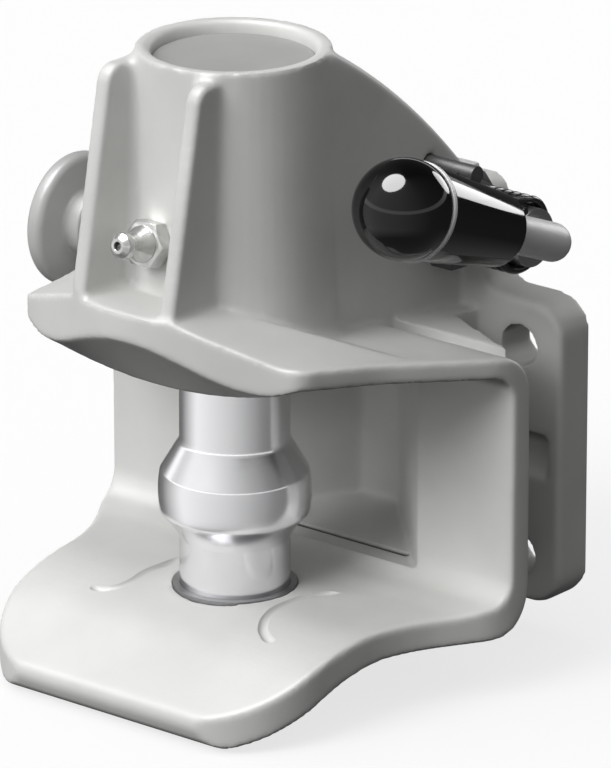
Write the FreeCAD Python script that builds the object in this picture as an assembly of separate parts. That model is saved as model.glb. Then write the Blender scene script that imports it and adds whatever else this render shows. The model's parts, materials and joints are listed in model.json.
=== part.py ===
import FreeCAD, Part
import math
import os

# Automatic trailer coupling for a drawbar eye, in millimetres.
# Everything is drawn about the pin: X and Y are 0 on the pin's axis, Z is 0 on the floor
# of the mouth, +Y points at the vehicle, +X is the side of the hand lever.
# The finished pieces are moved so that the origin is the middle of the bolt pattern,
# on the face that bolts to the vehicle.

V = FreeCAD.Vector

# Fits
running_gap = 0.05
pressed_gap = 0.03
free_gap = 0.3

# Coupling pin, made for a 40 mm drawbar eye
pin_shaft_radius = 14.0
pin_belly_radius = 19.0
belly_low = 19.5
belly_high = 30.0
flare_start = 12.3
taper_end = 38.5
pin_tip_depth = 11.0
pin_tip_chamfer = 2.5
pin_travel = 48.0
head_radius = 20.35
head_gap = 1.3
head_height = 24.0
head_clearance = 2.5
head_chamfer = 1.0

# Mouth and jaws
mouth_height = 60.7
wall_front = 29.0
wall_thickness = 7.0
jaw_half_width = 66.0
lower_jaw_thickness = 8.0
lower_front = -51.5
lower_front_half_width = 47.0
lip_drop = 15.3
lip_lean = 3.5
lip_corner = 3.2
floor_rear = 16.0
floor_rear_radius = 20.0
floor_bend = -20.0
under_bend = -14.0
bend_radius = 60.0
ramp_angle = 7.5
flare_setback = 3.0
flare_radius = 24.0
lower_waist_spread = 4.5
lower_waist_back = 2.0
lower_waist_radius = 50.0
lower_corner = 28.0
upper_jaw_thickness = 5.5
upper_slope = 7.0
upper_side = -28.0
upper_front = -42.5
upper_bow = 4.5
upper_bow_radius = 60.0
upper_front_half_width = 45.0
upper_flare = 6.5
upper_flare_back = -5.0
upper_flare_radius = 60.0
upper_corner = 7.0
outer_corner = 12.0
inner_corner = 6.5
rim_round = 1.0
fascia_height = 5.0
lens_drop = 7.6
lens_run = 13.0

# Apron between the two ribs, and the ribs
apron_rise = 21.3
apron_flank = 3.0
apron_end = 8.0
apron_corner = 4.0
rib_thickness = 4.6
rib_left = -17.6
rib_right = 11.0
rib_top_reach = -28.5
rib_foot_reach = -39.5
rib_drop = 2.0
rib_corner = 5.0
rib_sink = 6.0
rib_round = 1.2
rib_fillet = 2.0

# Tower round the pin
tower_wall_top = 4.0
tower_wall_foot = 6.1
tower_foot_fillet = 4.0
bush_wall = 1.5
bush_drop = 15.0
rim_chamfer = 1.0
cover_depth = 3.0
cover_sheet = 1.5
cover_skirt = 3.0
cover_gap = 0.25

# Boss and wear bush under the pin
floor_boss_radius = 23.0
floor_boss_depth = 14.0
lower_bush_wall = 1.7

# Pocket behind the pin and the neck round it
pocket_half_width = 36.5
pocket_end_half_width = 6.0
pocket_end = 58.0
pocket_end_corner = 4.0
pocket_roof_drop = 3.7
neck_half_width = 59.0
neck_waist = 29.0
neck_bend = 52.0
neck_corner = 6.0
neck_heel_radius = 20.0

# Plate that bolts to the vehicle
plate_front = 62.0
plate_thickness = 12.0
plate_half_width = 55.0
plate_low = -13.0
plate_high = 67.6
plate_corner = 9.0
plate_bevel = 1.2
crest_half_width = 29.0
crest_drop = 3.0
crest_fillet = 8.0
crest_corner = 5.0
bolt_spacing_x = 83.0
bolt_spacing_z = 56.0
bolt_hole_radius = 5.5
bolt_middle = 27.0
groove_radius = 8.0
groove_depth = 3.0
groove_margin = 4.0

# Housing of the lifting shaft, behind the tower
housing_half_width = 23.0
cavity_half_width = 15.0
housing_start = 12.0
housing_end = 65.0
housing_end_rise = 37.3
housing_middle = 40.0
housing_middle_share = 0.55
housing_roof = 5.0
housing_round = 2.5
cavity_rise = 6.8
cavity_front = 30.0
cavity_play = 0.7
window_half_width = 8.0
window_corner = 3.0
window_rise = 9.3
window_overrun = 3.0
rear_window_rise = 11.3
rear_window_overrun = 1.5

# Lifting shaft, its bushes and its closing spring
shaft_back = 55.5
shaft_above_tip = 13.5
shaft_radius = 7.5
shaft_end = 51.5
bearing_wall = 2.0
collar_flats = 23.0
collar_length = 8.0
seal_wall = 2.4
seal_length = 3.5
washer_radius = 10.8
washer_thickness = 1.2
relief_radius = 14.2
spring_wire = 2.0
spring_wire_sides = 8
spring_inner = 8.2
spring_turns = 6
spring_start = 33.4
spring_length = 14.6
peg_radius = 2.5
peg_forward = 6.5
peg_above = 15.1
peg_depth = 5.0
peg_length = 15.0
cap_radius = 10.5
cap_thickness = 3.0

# Lifting finger
finger_length = 57.0
finger_half_width = 7.0
finger_tip_radius = 5.0
finger_neck = 4.0
finger_neck_start = 40.0
finger_root = 8.5
hub_wall = 3.0
cross_pin_radius = 2.5
tip_above_head_end = 12.0

# Hand lever
lever_rod_radius = 5.0
lever_plane = 54.5
lever_angle = 21.8
lever_tail = 3.0
grip_start = 20.4
grip_start_radius = 9.3
grip_neck_radius = 12.2
grip_ball_radius = 12.75
grip_ball_reach = 60.5
grip_groove = 0.5
grip_groove_width = 0.8
grip_ball_overlap = 3.0
grip_bore_depth = 52.0

# Grease nipple on the front of the tower
nipple_side = -4.0
nipple_above_apron = 13.0
nipple_tilt = 11.0
nipple_flats = 11.0
nipple_hex_length = 4.6
nipple_cone_radius = 4.6
nipple_cone_length = 3.6
nipple_neck_radius = 2.3
nipple_neck_length = 2.0
nipple_head_radius = 3.3
nipple_head_length = 4.4
nipple_hole_radius = 1.1
nipple_thread_radius = 4.0
nipple_stand_off = 0.6

# Locking bolt with its pull knob, on the left
lock_back = 19.7
lock_rise = 15.8
lock_nose_radius = 6.0
lock_shoulder_radius = 8.0
lock_stem_radius = 4.0
lock_chamber_radius = 8.5
lock_boss_wall = 2.5
lock_boss_gap = 5.0
lock_chamber_start = 28.0
lock_shoulder_length = 3.0
sleeve_depth = 5.0
sleeve_flange = 3.0
sleeve_flats = 14.0
knob_gap = 0.6
knob_neck_length = 6.5
knob_hub_length = 5.1
knob_thickness = 5.0
knob_small_radius = 6.5
knob_hub_radius = 8.5
knob_disc_radius = 17.5
knob_pin_radius = 1.5
lock_spring_wire = 1.2
lock_spring_radius = 5.6
lock_spring_turns = 5

# Heights that follow from the mouth, the pin's head and its travel
head_low = mouth_height + head_gap
head_high = head_low + head_height
tower_height = head_high + pin_travel + head_clearance + cover_sheet + cover_depth
bush_top = tower_height - bush_drop
rib_top_height = tower_height - rib_drop
apron_height = mouth_height + apron_rise
nipple_height = apron_height + nipple_above_apron
pocket_roof = mouth_height - pocket_roof_drop
housing_end_height = mouth_height + housing_end_rise
housing_middle_height = housing_end_height + housing_middle_share * (tower_height - housing_end_height)
crest_height = housing_end_height - crest_drop
closed_tip_height = head_low + tip_above_head_end
shaft_height = closed_tip_height + shaft_above_tip
cavity_floor = mouth_height + cavity_rise
window_low = mouth_height + window_rise
window_high = bush_top + window_overrun
rear_window_low = mouth_height + rear_window_rise
rear_window_high = shaft_height + rear_window_overrun
peg_back = shaft_back - peg_forward
peg_height = shaft_height + peg_above
lock_height = mouth_height + lock_rise

# Other sizes that follow from the ones above
bush_bore = head_radius + running_gap
tower_bore = bush_bore + bush_wall + pressed_gap
tower_top_radius = bush_bore + tower_wall_top
tower_foot_radius = bush_bore + tower_wall_foot
cover_bore = head_radius + cover_gap
wall_rear = wall_front + wall_thickness
plate_rear = plate_front + plate_thickness
row_origin = V(0, -plate_rear, -bolt_middle)
slope = math.tan(math.radians(upper_slope))
ramp = math.tan(math.radians(ramp_angle))
collar_end = housing_half_width + collar_length
bearing_radius = shaft_radius + running_gap + bearing_wall
lever_way = V(0, -math.cos(math.radians(lever_angle)), math.sin(math.radians(lever_angle)))
lever_root = V(lever_plane, shaft_back, shaft_height)
closed_angle = math.asin((shaft_height - closed_tip_height) / finger_length)
open_angle = math.asin((closed_tip_height + pin_travel - shaft_height) / finger_length)
lever_turn = closed_angle + open_angle
knob_disc = jaw_half_width + knob_gap
knob_step = knob_disc - knob_hub_length
knob_start = knob_step - knob_neck_length
knob_end = knob_disc + knob_thickness
lock_boss_end = knob_start - lock_boss_gap
lock_nose_start = math.sqrt((tower_bore + free_gap) ** 2 - (lock_back - lock_nose_radius) ** 2)
beyond = 100.0

PLANES = {
    "plan": lambda u, v, w: V(u, v, w),
    "side": lambda u, v, w: V(w, u, v),
    "front": lambda u, v, w: V(u, w, v),
}


def corner_marks(corners, index):
    """Where the arc of one corner (u, v, radius) starts, bulges and ends."""
    here = V(corners[index][0], corners[index][1], 0)
    before = V(corners[index - 1][0], corners[index - 1][1], 0)
    following = corners[(index + 1) % len(corners)]
    after = V(following[0], following[1], 0)
    radius = corners[index][2]
    into = (before - here).normalize()
    away = (after - here).normalize()
    half = 0.5 * into.getAngle(away)
    if radius <= 0:
        return here, None, here
    reach = radius / math.tan(half)
    middle = here + (into + away).normalize() * (radius / math.sin(half) - radius)
    return here + into * reach, middle, here + away * reach


def outline(plane, corners, level):
    """Closed wire in a plane through corners (u, v, radius), each rounded by its arc."""
    place = PLANES[plane]
    marks = [corner_marks(corners, index) for index in range(len(corners))]
    edges = []
    for index, (start, middle, end) in enumerate(marks):
        if middle is not None:
            arc = [place(point.x, point.y, level) for point in (start, middle, end)]
            edges.append(Part.Arc(*arc).toShape())
        follow = marks[(index + 1) % len(marks)][0]
        if (follow - end).Length > 0.001:
            line = [place(point.x, point.y, level) for point in (end, follow)]
            edges.append(Part.LineSegment(*line).toShape())
    return Part.Wire(edges)


def slab(plane, corners, low, high):
    """Prism of a rounded outline between two levels across its plane."""
    face = Part.Face(outline(plane, corners, low))
    return face.extrude(PLANES[plane](0, 0, high - low))


def both_sides(corners):
    """Outline corners given for +X, closed by their mirror image on -X."""
    return corners + [(-x, y, radius) for x, y, radius in reversed(corners)]


def rod(radius, start, end):
    """Cylinder between two points."""
    way = end - start
    return Part.makeCylinder(radius, way.Length, start, way)


def across(radius, low, high, back, height):
    """Cylinder along X."""
    return rod(radius, V(low, back, height), V(high, back, height))


def upright(radius, low, high):
    """Cylinder on the pin's axis."""
    return rod(radius, V(0, 0, low), V(0, 0, high))


def turned(points, start, way):
    """Solid of revolution from (distance along, radius) points, set at start along way."""
    loop = [V(radius, 0, along) for along, radius in points]
    face = Part.Face(Part.makePolygon(loop + [loop[0]]))
    solid = face.revolve(V(0, 0, 0), V(0, 0, 1), 360)
    solid.Placement = FreeCAD.Placement(start, FreeCAD.Rotation(V(0, 0, 1), way))
    return solid


def hexagon(flats, length, start, way):
    """Hexagonal prism, flats given across, from start along way."""
    radius = 0.5 * flats / math.cos(math.pi / 6)
    corners = [V(radius * math.cos(step * math.pi / 3), radius * math.sin(step * math.pi / 3), 0)
               for step in range(6)]
    face = Part.Face(Part.makePolygon(corners + [corners[0]]))
    solid = face.extrude(V(0, 0, length))
    solid.Placement = FreeCAD.Placement(start, FreeCAD.Rotation(V(0, 0, 1), way))
    return solid


def coil(radius, wire, turns, length, start, way):
    """Helical spring along way from start, its wire's section drawn with many flats."""
    helix = Part.makeHelix(length / turns, length, radius)
    corners = []
    for step in range(spring_wire_sides):
        angle = 2 * math.pi * step / spring_wire_sides
        corners.append(V(radius + 0.5 * wire * math.cos(angle), 0, 0.5 * wire * math.sin(angle)))
    section = Part.makePolygon(corners + [corners[0]])
    solid = Part.Wire(helix).makePipeShell([section], True, True)
    solid.Placement = FreeCAD.Placement(start, FreeCAD.Rotation(V(0, 0, 1), way))
    return solid


def jaw_top(back):
    """Height of the upper jaw's top at a distance behind the pin."""
    return mouth_height + upper_jaw_thickness + slope * (wall_front - back)


def jaw_profile():
    """C-shaped side profile of both jaws and the wall that joins them."""
    under = mouth_height + slope * (wall_front - upper_front)
    return slab("side", [
        (upper_front, jaw_top(upper_front), 0),
        (wall_rear, jaw_top(wall_rear), outer_corner),
        (wall_rear, -lower_jaw_thickness, outer_corner),
        (under_bend, -lower_jaw_thickness, bend_radius),
        (lower_front + lip_lean, -lip_drop - lower_jaw_thickness, lip_corner),
        (lower_front, -lip_drop, lip_corner),
        (floor_bend, 0, bend_radius),
        (floor_rear, 0, floor_rear_radius),
        (wall_front, ramp * (wall_front - floor_rear), inner_corner),
        (wall_front, mouth_height, inner_corner),
        (upper_front, under, 0),
    ], -jaw_half_width, jaw_half_width)


def lower_outline():
    """Corners of the lower jaw's plan, wide at the wall with a broad rounded front."""
    return both_sides([
        (jaw_half_width, wall_rear, 0),
        (jaw_half_width, wall_front - flare_setback, flare_radius),
        (lower_front_half_width + lower_waist_spread, lower_waist_back, lower_waist_radius),
        (lower_front_half_width, lower_front, lower_corner),
    ])


def upper_outline():
    """Corners of the upper jaw's plan, with its front bowed forward."""
    side = [
        (jaw_half_width, wall_rear, 0),
        (jaw_half_width, wall_front - flare_setback, flare_radius),
        (upper_front_half_width + upper_flare, upper_flare_back, upper_flare_radius),
        (upper_front_half_width, upper_side, upper_corner),
    ]
    other = [(-x, y, radius) for x, y, radius in reversed(side)]
    return side + [(0, upper_front - upper_bow, upper_bow_radius)] + other


def upper_plan():
    """Prism of the upper jaw's plan, from the middle of the mouth up."""
    return slab("plan", upper_outline(), 0.5 * mouth_height, tower_height)


def rounded_rim(body, corners):
    """Rounds the edges where the broad faces of a jaw meet the outline of its plan."""
    rim = []
    for edge in body.Edges:
        middle = edge.valueAt(0.5 * (edge.FirstParameter + edge.LastParameter))
        on_outline = outline("plan", corners, middle.z).distToShape(Part.Vertex(middle))[0] < 0.02
        on_cut = abs(middle.z - 0.5 * mouth_height) < 0.01
        on_back = edge.BoundBox.YMin > wall_rear - 0.01
        if on_outline and not on_cut and not on_back and not runs_upright(edge):
            rim.append(edge)
    return body.makeFillet(rim_round, rim)


def runs_upright(edge):
    """Whether an edge is the joint of two faces of a plan's upright side."""
    return edge.BoundBox.XLength < 0.001 and edge.BoundBox.YLength < 0.001


def lower_jaw():
    """The lower jaw and the lower half of the wall."""
    plan = slab("plan", lower_outline(), 2 * lower_front, 0.5 * mouth_height)
    return rounded_rim(jaw_profile().common(plan).Solids[0], lower_outline())


def upper_jaw():
    """The upper jaw and the upper half of the wall, with the tower and its ribs."""
    body = rounded_rim(jaw_profile().common(upper_plan()).Solids[0], upper_outline())
    body = body.fuse(tower()).removeSplitter().Solids[0]
    foot = [edge for edge in body.Edges if on_foot(edge)]
    body = body.makeFillet(tower_foot_fillet, foot)
    for piece in [lens(), apron()] + ribs():
        body = body.fuse(piece)
    body = body.cut(lens_chamfer()).removeSplitter().Solids[0]
    corners = [edge for edge in body.Edges if in_rib_corner(edge)]
    return body.makeFillet(rib_fillet, corners)


def in_rib_corner(edge):
    """Whether an edge runs up the corner between a rib and the tower."""
    box = edge.BoundBox
    tall = box.ZLength > 0.5 * (tower_height - apron_height)
    return tall and box.XLength < 0.01 and box.YMin > -tower_foot_radius


def on_foot(edge):
    """Whether an edge is where the tower rises from the upper jaw."""
    middle = edge.valueAt(0.5 * (edge.FirstParameter + edge.LastParameter))
    near = abs(math.hypot(middle.x, middle.y) - tower_foot_radius) < 2
    return near and abs(middle.z - jaw_top(middle.y)) < 0.1


def arched(reach, ends, middle, base, back):
    """Wire across Y at a distance back: an arc from side to side, closed by a straight base."""
    place = PLANES["front"]
    corners = [
        place(reach, ends, back),
        place(reach, base, back),
        place(-reach, base, back),
        place(-reach, ends, back),
    ]
    arc = Part.Arc(corners[3], place(0, middle, back), corners[0]).toShape()
    lines = [Part.makeLine(corners[step], corners[step + 1]) for step in range(3)]
    return Part.Wire([arc] + lines)


def lens():
    """Lens-shaped thickening under the upper jaw, deepest under the pin."""
    ends = jaw_top(upper_side) - upper_jaw_thickness
    reach = upper_front_half_width - 1
    face = Part.Face(arched(reach, ends, ends - lens_drop, tower_height, upper_front))
    body = face.extrude(V(0, wall_front - upper_front, 0))
    room = slab("side", [
        (upper_front, jaw_top(upper_front) - 1, 0),
        (wall_front, jaw_top(wall_front) - 1, 0),
        (wall_front, 0.5 * mouth_height, 0),
        (upper_front, 0.5 * mouth_height, 0),
    ], -jaw_half_width, jaw_half_width)
    return body.common(room).common(upper_plan())


def lens_chamfer():
    """What the chamfer under the upper jaw's front takes away, widest in the middle."""
    ends = jaw_top(upper_side) - upper_jaw_thickness
    reach = upper_front_half_width
    base = 0.5 * mouth_height
    front = arched(reach, ends, apron_height - fascia_height, base, upper_front - 1)
    rear = arched(reach, ends, ends - lens_drop - pressed_gap, base, upper_front + lens_run)
    return Part.makeLoft([front, rear], True, True)


def apron():
    """Crowned block under the ribs, flush with the front of the upper jaw."""
    left = rib_left - 0.5 * rib_thickness
    right = rib_right + 0.5 * rib_thickness
    run = apron_flank * (apron_height - mouth_height)
    block = slab("front", [
        (left - run, mouth_height, 0),
        (left, apron_height, apron_corner),
        (right, apron_height, apron_corner),
        (right + run, mouth_height, 0),
    ], upper_front, apron_end)
    sunk = 0.5 * upper_jaw_thickness
    side_view = slab("side", [
        (upper_front, jaw_top(upper_front) - sunk, 0),
        (upper_front, apron_height + 1, 0),
        (-tower_foot_radius, apron_height + 1, 0),
        (apron_end, jaw_top(apron_end) - 1, 0),
        (apron_end, jaw_top(apron_end) - sunk, 0),
    ], -jaw_half_width, jaw_half_width)
    return block.common(side_view).common(upper_plan())


def tower():
    """Tapered tower that guides the head of the pin."""
    foot = mouth_height + upper_jaw_thickness
    return Part.makeCone(tower_foot_radius, tower_top_radius, tower_height - foot, V(0, 0, foot), V(0, 0, 1))


def ribs():
    """Two upright ribs on the front of the tower."""
    plates = []
    for middle in (rib_left, rib_right):
        rib = slab("side", [
            (0, rib_top_height, 0),
            (rib_top_reach, rib_top_height, rib_corner),
            (rib_foot_reach, apron_height, 0),
            (rib_foot_reach, apron_height - rib_sink, 0),
            (0, apron_height - rib_sink, 0),
        ], middle - 0.5 * rib_thickness, middle + 0.5 * rib_thickness)
        nose = [edge for edge in rib.Edges if on_nose(edge)]
        plates.append(rib.makeFillet(rib_round, nose).common(upper_plan()))
    return plates


def on_nose(edge):
    """Whether an edge runs along a rib's sloping front or over its rounded top."""
    return edge.BoundBox.XLength < 0.01 and edge.BoundBox.YMax < rib_top_reach + 7


def housing_profile(inset, low, front, back):
    """Side outline under the housing's convex back, set in by a wall."""
    place = PLANES["side"]
    high = [
        V(housing_start, tower_height - inset, 0),
        V(housing_middle, housing_middle_height - inset, 0),
        V(housing_end, housing_end_height - inset, 0),
    ]
    points = [place(point.x, point.y, 0) for point in high]
    low_front = place(front, low, 0)
    low_back = place(back, low, 0)
    edges = [
        Part.Arc(*points).toShape(),
        Part.LineSegment(points[2], place(back, high[2].y, 0)).toShape(),
        Part.LineSegment(place(back, high[2].y, 0), low_back).toShape(),
        Part.LineSegment(low_back, low_front).toShape(),
        Part.LineSegment(low_front, place(front, high[0].y, 0)).toShape(),
        Part.LineSegment(place(front, high[0].y, 0), points[0]).toShape(),
    ]
    return Part.Face(Part.Wire(edges))


def housing():
    """Solid fin between the tower and the plate."""
    face = housing_profile(0, mouth_height + 2, 0, plate_rear - 4)
    body = face.extrude(V(2 * housing_half_width, 0, 0))
    body.translate(V(-housing_half_width, 0, 0))
    crown = [edge for edge in body.Edges if on_crown(edge)]
    return body.makeFillet(housing_round, crown)


def on_crown(edge):
    """Whether an edge runs along the housing's convex back."""
    along = edge.BoundBox.XLength < 0.01 and edge.BoundBox.YLength > 5
    return along and edge.BoundBox.ZMin > housing_end_height - 1


def cavity():
    """Room in the housing for the lifting finger, open to the pin and to the rear."""
    back = shaft_back + shaft_radius + running_gap + hub_wall + cavity_play
    face = housing_profile(housing_roof, cavity_floor, 0, back)
    hollow = face.extrude(V(2 * cavity_half_width, 0, 0))
    hollow.translate(V(-cavity_half_width, 0, 0))
    room = Part.makeBox(2 * beyond, beyond, 2 * beyond, V(-beyond, cavity_front, 0))
    hollow = hollow.common(room)
    window = slab("front", [
        (-window_half_width, window_low, window_corner),
        (window_half_width, window_low, window_corner),
        (window_half_width, window_high, window_corner),
        (-window_half_width, window_high, window_corner),
    ], window_half_width, cavity_front + 1)
    window = window.common(housing_window_limit())
    rear = slab("front", [
        (-cavity_half_width, rear_window_low, window_corner),
        (cavity_half_width, rear_window_low, window_corner),
        (cavity_half_width, rear_window_high, window_corner),
        (-cavity_half_width, rear_window_high, window_corner),
    ], plate_front, plate_rear + 1)
    return [hollow, window, rear]


def housing_window_limit():
    """Keeps the window below the housing's roof."""
    face = housing_profile(housing_roof, window_low - 1, 0, plate_rear)
    body = face.extrude(V(4 * window_half_width, 0, 0))
    body.translate(V(-2 * window_half_width, 0, 0))
    return body


def neck():
    """Waisted block between the wall and the plate, round the pocket."""
    side = [
        (neck_half_width, wall_rear - 1, 0),
        (neck_waist, neck_bend, neck_corner),
        (neck_waist, plate_front + 1, 0),
    ]
    plan = slab("plan", both_sides(side), -lower_jaw_thickness, tower_height)
    side_view = slab("side", [
        (wall_front, outer_corner - lower_jaw_thickness, 0),
        (wall_rear - 1, outer_corner - lower_jaw_thickness, 0),
        (wall_rear + outer_corner, -lower_jaw_thickness, neck_heel_radius),
        (plate_front + 1, -lower_jaw_thickness, 0),
        (plate_front + 1, jaw_top(plate_front), 0),
        (wall_front, jaw_top(wall_front), 0),
    ], -jaw_half_width, jaw_half_width)
    return plan.common(side_view)


def pocket():
    """Tapering pocket behind the pin, which gives the drawbar eye room to swing."""
    plan = slab("plan", both_sides([
        (pocket_half_width, wall_front - 1, 0),
        (pocket_end_half_width, pocket_end, pocket_end_corner),
    ]), 0, pocket_roof)
    side_view = slab("side", [
        (wall_front - 1, ramp * (wall_front - 1 - floor_rear), 0),
        (pocket_end, ramp * (pocket_end - floor_rear), 0),
        (pocket_end, pocket_roof, 0),
        (wall_front - 1, pocket_roof, 0),
    ], -jaw_half_width, jaw_half_width)
    return plan.common(side_view)


def plate():
    """Plate with four bolt holes and a raised crest behind the housing."""
    body = slab("front", both_sides([
        (plate_half_width, plate_low, plate_corner),
        (plate_half_width, plate_high, plate_corner),
        (crest_half_width, plate_high, crest_fillet),
        (crest_half_width, crest_height, crest_corner),
    ]), plate_front, plate_rear)
    front_edges = [edge for edge in body.Edges if edge.BoundBox.YMax < plate_front + 0.01]
    return body.makeChamfer(plate_bevel, front_edges)


def bolt_holes():
    """Four through holes on a rectangle."""
    holes = []
    for side in (-0.5, 0.5):
        for level in (-0.5, 0.5):
            at = V(side * bolt_spacing_x, plate_front - 1, bolt_middle + level * bolt_spacing_z)
            holes.append(rod(bolt_hole_radius, at, at + V(0, plate_thickness + 2, 0)))
    return holes


def plate_grooves():
    """Round-bottomed hollow across each wing of the plate, between its bolts."""
    back = plate_front + groove_depth - groove_radius
    start = neck_waist + groove_margin
    end = plate_half_width - groove_margin
    return [across(groove_radius, side * start, side * end, back, bolt_middle) for side in (-1, 1)]


def lock_boss():
    """Boss for the locking bolt on the left of the housing."""
    radius = lock_chamber_radius + lock_boss_wall
    return across(radius, -lock_boss_end, -housing_half_width + 1, lock_back, lock_height)


def nipple_way():
    """Direction in which the grease nipple points."""
    tilt = math.radians(nipple_tilt)
    return V(0, -math.cos(tilt), math.sin(tilt))


def nipple_seat():
    """Point on the tower's front where the grease nipple's hexagon rests."""
    foot = mouth_height + upper_jaw_thickness
    share = (nipple_height - foot) / (tower_height - foot)
    radius = tower_foot_radius + (tower_top_radius - tower_foot_radius) * share
    return V(nipple_side, -math.sqrt(radius ** 2 - nipple_side ** 2), nipple_height)


def nipple_thread_length():
    """Length of the nipple's thread, which ends short of the tower's bore."""
    seat = nipple_seat()
    bore = math.sqrt(tower_bore ** 2 - nipple_side ** 2)
    lean = nipple_thread_radius * math.sin(math.radians(nipple_tilt))
    return -seat.y - bore - lean - 2 * free_gap


def coupling_body():
    """The casting: jaws, wall, neck, plate, tower, ribs and housing."""
    body = lower_jaw()
    extra = [upper_jaw(), housing(), neck(), plate(), lock_boss()]
    extra.append(upright(floor_boss_radius, -floor_boss_depth, -0.5 * lower_jaw_thickness))
    for piece in extra:
        body = body.fuse(piece)
    seat = nipple_seat()
    way = nipple_way()
    shaft_gap = bearing_radius + pressed_gap
    cuts = cavity() + [pocket()] + bolt_holes() + plate_grooves()
    cuts.append(upright(tower_bore, 0.5 * mouth_height, bush_top + pressed_gap))
    cuts.append(upright(cover_bore, bush_top, tower_height + 1))
    cuts.append(rim_cut())
    lower_bore = pin_shaft_radius + running_gap + lower_bush_wall + pressed_gap
    cuts.append(upright(lower_bore, -beyond, 1))
    cuts.append(across(shaft_gap, -housing_half_width - 1, housing_half_width + 1, shaft_back, shaft_height))
    cuts.append(across(relief_radius, housing_half_width, beyond, shaft_back, shaft_height))
    cuts.append(across(relief_radius, -beyond, -housing_half_width, shaft_back, shaft_height))
    cuts.append(across(lock_nose_radius + running_gap, -lock_chamber_start - 1, 0, lock_back, lock_height))
    cuts.append(across(lock_chamber_radius, -lock_boss_end - 1, -lock_chamber_start, lock_back, lock_height))
    cuts.append(rod(nipple_thread_radius + pressed_gap, seat - way * nipple_thread_length(), seat + way))
    cuts.append(rod(0.6 * nipple_flats + free_gap, seat + way * nipple_stand_off, seat + way * nipple_flats))
    peg_start = housing_half_width - peg_depth
    cuts.append(across(peg_radius + pressed_gap, peg_start, beyond, peg_back, peg_height))
    for hollow in cuts:
        body = body.cut(hollow)
    return body.removeSplitter().Solids[0]


def rim_cut():
    """Chamfer round the top of the tower's bore."""
    start = V(0, 0, tower_height - rim_chamfer)
    return Part.makeCone(cover_bore, cover_bore + 2 * rim_chamfer, 2 * rim_chamfer, start, V(0, 0, 1))


def tower_bush():
    """Wear bush in the tower, slotted at the back for the lifting finger."""
    low = mouth_height - 0.5
    ring = upright(bush_bore + bush_wall, low, bush_top).cut(upright(bush_bore, low - 1, bush_top + 1))
    slot = Part.makeBox(2 * window_half_width, beyond, bush_top, V(-window_half_width, 0, window_low))
    return ring.cut(slot)


def lower_bush():
    """Wear bush in the lower jaw that takes the pin's tip."""
    outer = pin_shaft_radius + running_gap + lower_bush_wall
    ring = upright(outer, -floor_boss_depth, 0)
    return ring.cut(upright(pin_shaft_radius + running_gap, -floor_boss_depth - 1, 1))


def finger_slot():
    """Side outline of the pocket in the pin's head that the finger's tip lifts."""
    lead = 0.5 * finger_lead()
    middle = closed_tip_height + lead
    half = finger_tip_radius + lead + 0.5
    end = shaft_back - finger_length - finger_tip_radius - 0.8
    mouth = head_radius + 2
    rise = mouth * math.tan(closed_angle) + finger_neck + 1.5
    fall = finger_drop(mouth) + lead + 1.0
    return slab("side", [
        (end, middle - half, half - 0.5),
        (shaft_back - finger_length + 6, middle - half, 0),
        (mouth, middle - fall, 0),
        (mouth, middle + rise, 0),
        (shaft_back - finger_length + 4, middle + half, 0),
        (end, middle + half, half - 0.5),
    ], -finger_half_width - 0.5, finger_half_width + 0.5)


def finger_lead():
    """Most that the finger's tip runs ahead of the pin, which rises evenly with the turn."""
    middle = 0.5 * (open_angle - closed_angle)
    climb = finger_length * (math.sin(middle) + math.sin(closed_angle))
    return climb - 0.5 * pin_travel


def finger_drop(reach):
    """How far the raised finger's underside lies below its tip, at a reach behind the pin."""
    drops = []
    for step in range(9):
        angle = open_angle * step / 8
        run = reach - (shaft_back - finger_length * math.cos(angle))
        drops.append(run * math.tan(angle) + finger_neck / math.cos(angle))
    return max(drops)


def coupling_pin():
    """Pin with a cambered belly and a guided head."""
    neck_curve = Part.Arc(V(pin_shaft_radius, 0, flare_start),
                          V(pin_shaft_radius + 1.6, 0, flare_start + 4.2),
                          V(pin_belly_radius, 0, belly_low)).toShape()
    belly = Part.Arc(V(pin_belly_radius, 0, belly_low),
                     V(pin_belly_radius + 0.4, 0, 0.5 * (belly_low + belly_high)),
                     V(pin_belly_radius, 0, belly_high)).toShape()
    low = [V(0, 0, -pin_tip_depth), V(pin_shaft_radius - pin_tip_chamfer, 0, -pin_tip_depth),
           V(pin_shaft_radius, 0, pin_tip_chamfer - pin_tip_depth), V(pin_shaft_radius, 0, flare_start)]
    high = [V(pin_belly_radius, 0, belly_high), V(pin_shaft_radius, 0, taper_end),
            V(pin_shaft_radius, 0, head_low), V(head_radius - head_chamfer, 0, head_low),
            V(head_radius, 0, head_low + head_chamfer), V(head_radius, 0, head_high - head_chamfer),
            V(head_radius - head_chamfer, 0, head_high), V(0, 0, head_high), low[0]]
    edges = [Part.makeLine(low[step], low[step + 1]) for step in range(len(low) - 1)]
    edges += [neck_curve, belly]
    edges += [Part.makeLine(high[step], high[step + 1]) for step in range(len(high) - 1)]
    face = Part.Face(Part.Wire(edges))
    return face.revolve(V(0, 0, 0), V(0, 0, 1), 360).cut(finger_slot())


def top_cover():
    """Pressed cap that closes the tower."""
    top = tower_height - cover_depth
    radius = cover_bore - pressed_gap
    cap = upright(radius, top - cover_skirt, top)
    return cap.cut(upright(radius - cover_sheet, top - cover_skirt - 1, top - cover_sheet))


def lever_shaft():
    """Shaft across the housing, with a saddle for the hand lever and a cross hole."""
    body = across(shaft_radius, -housing_half_width + 1, shaft_end, shaft_back, shaft_height)
    reach = lever_way * shaft_end
    saddle = rod(lever_rod_radius + pressed_gap, lever_root - reach, lever_root + reach)
    return body.cut(saddle).cut(cross_pin(cross_pin_radius + pressed_gap))


def finger_way():
    """Direction of the lifting finger from its shaft when the pin is down."""
    return V(0, -math.cos(closed_angle), -math.sin(closed_angle))


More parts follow.
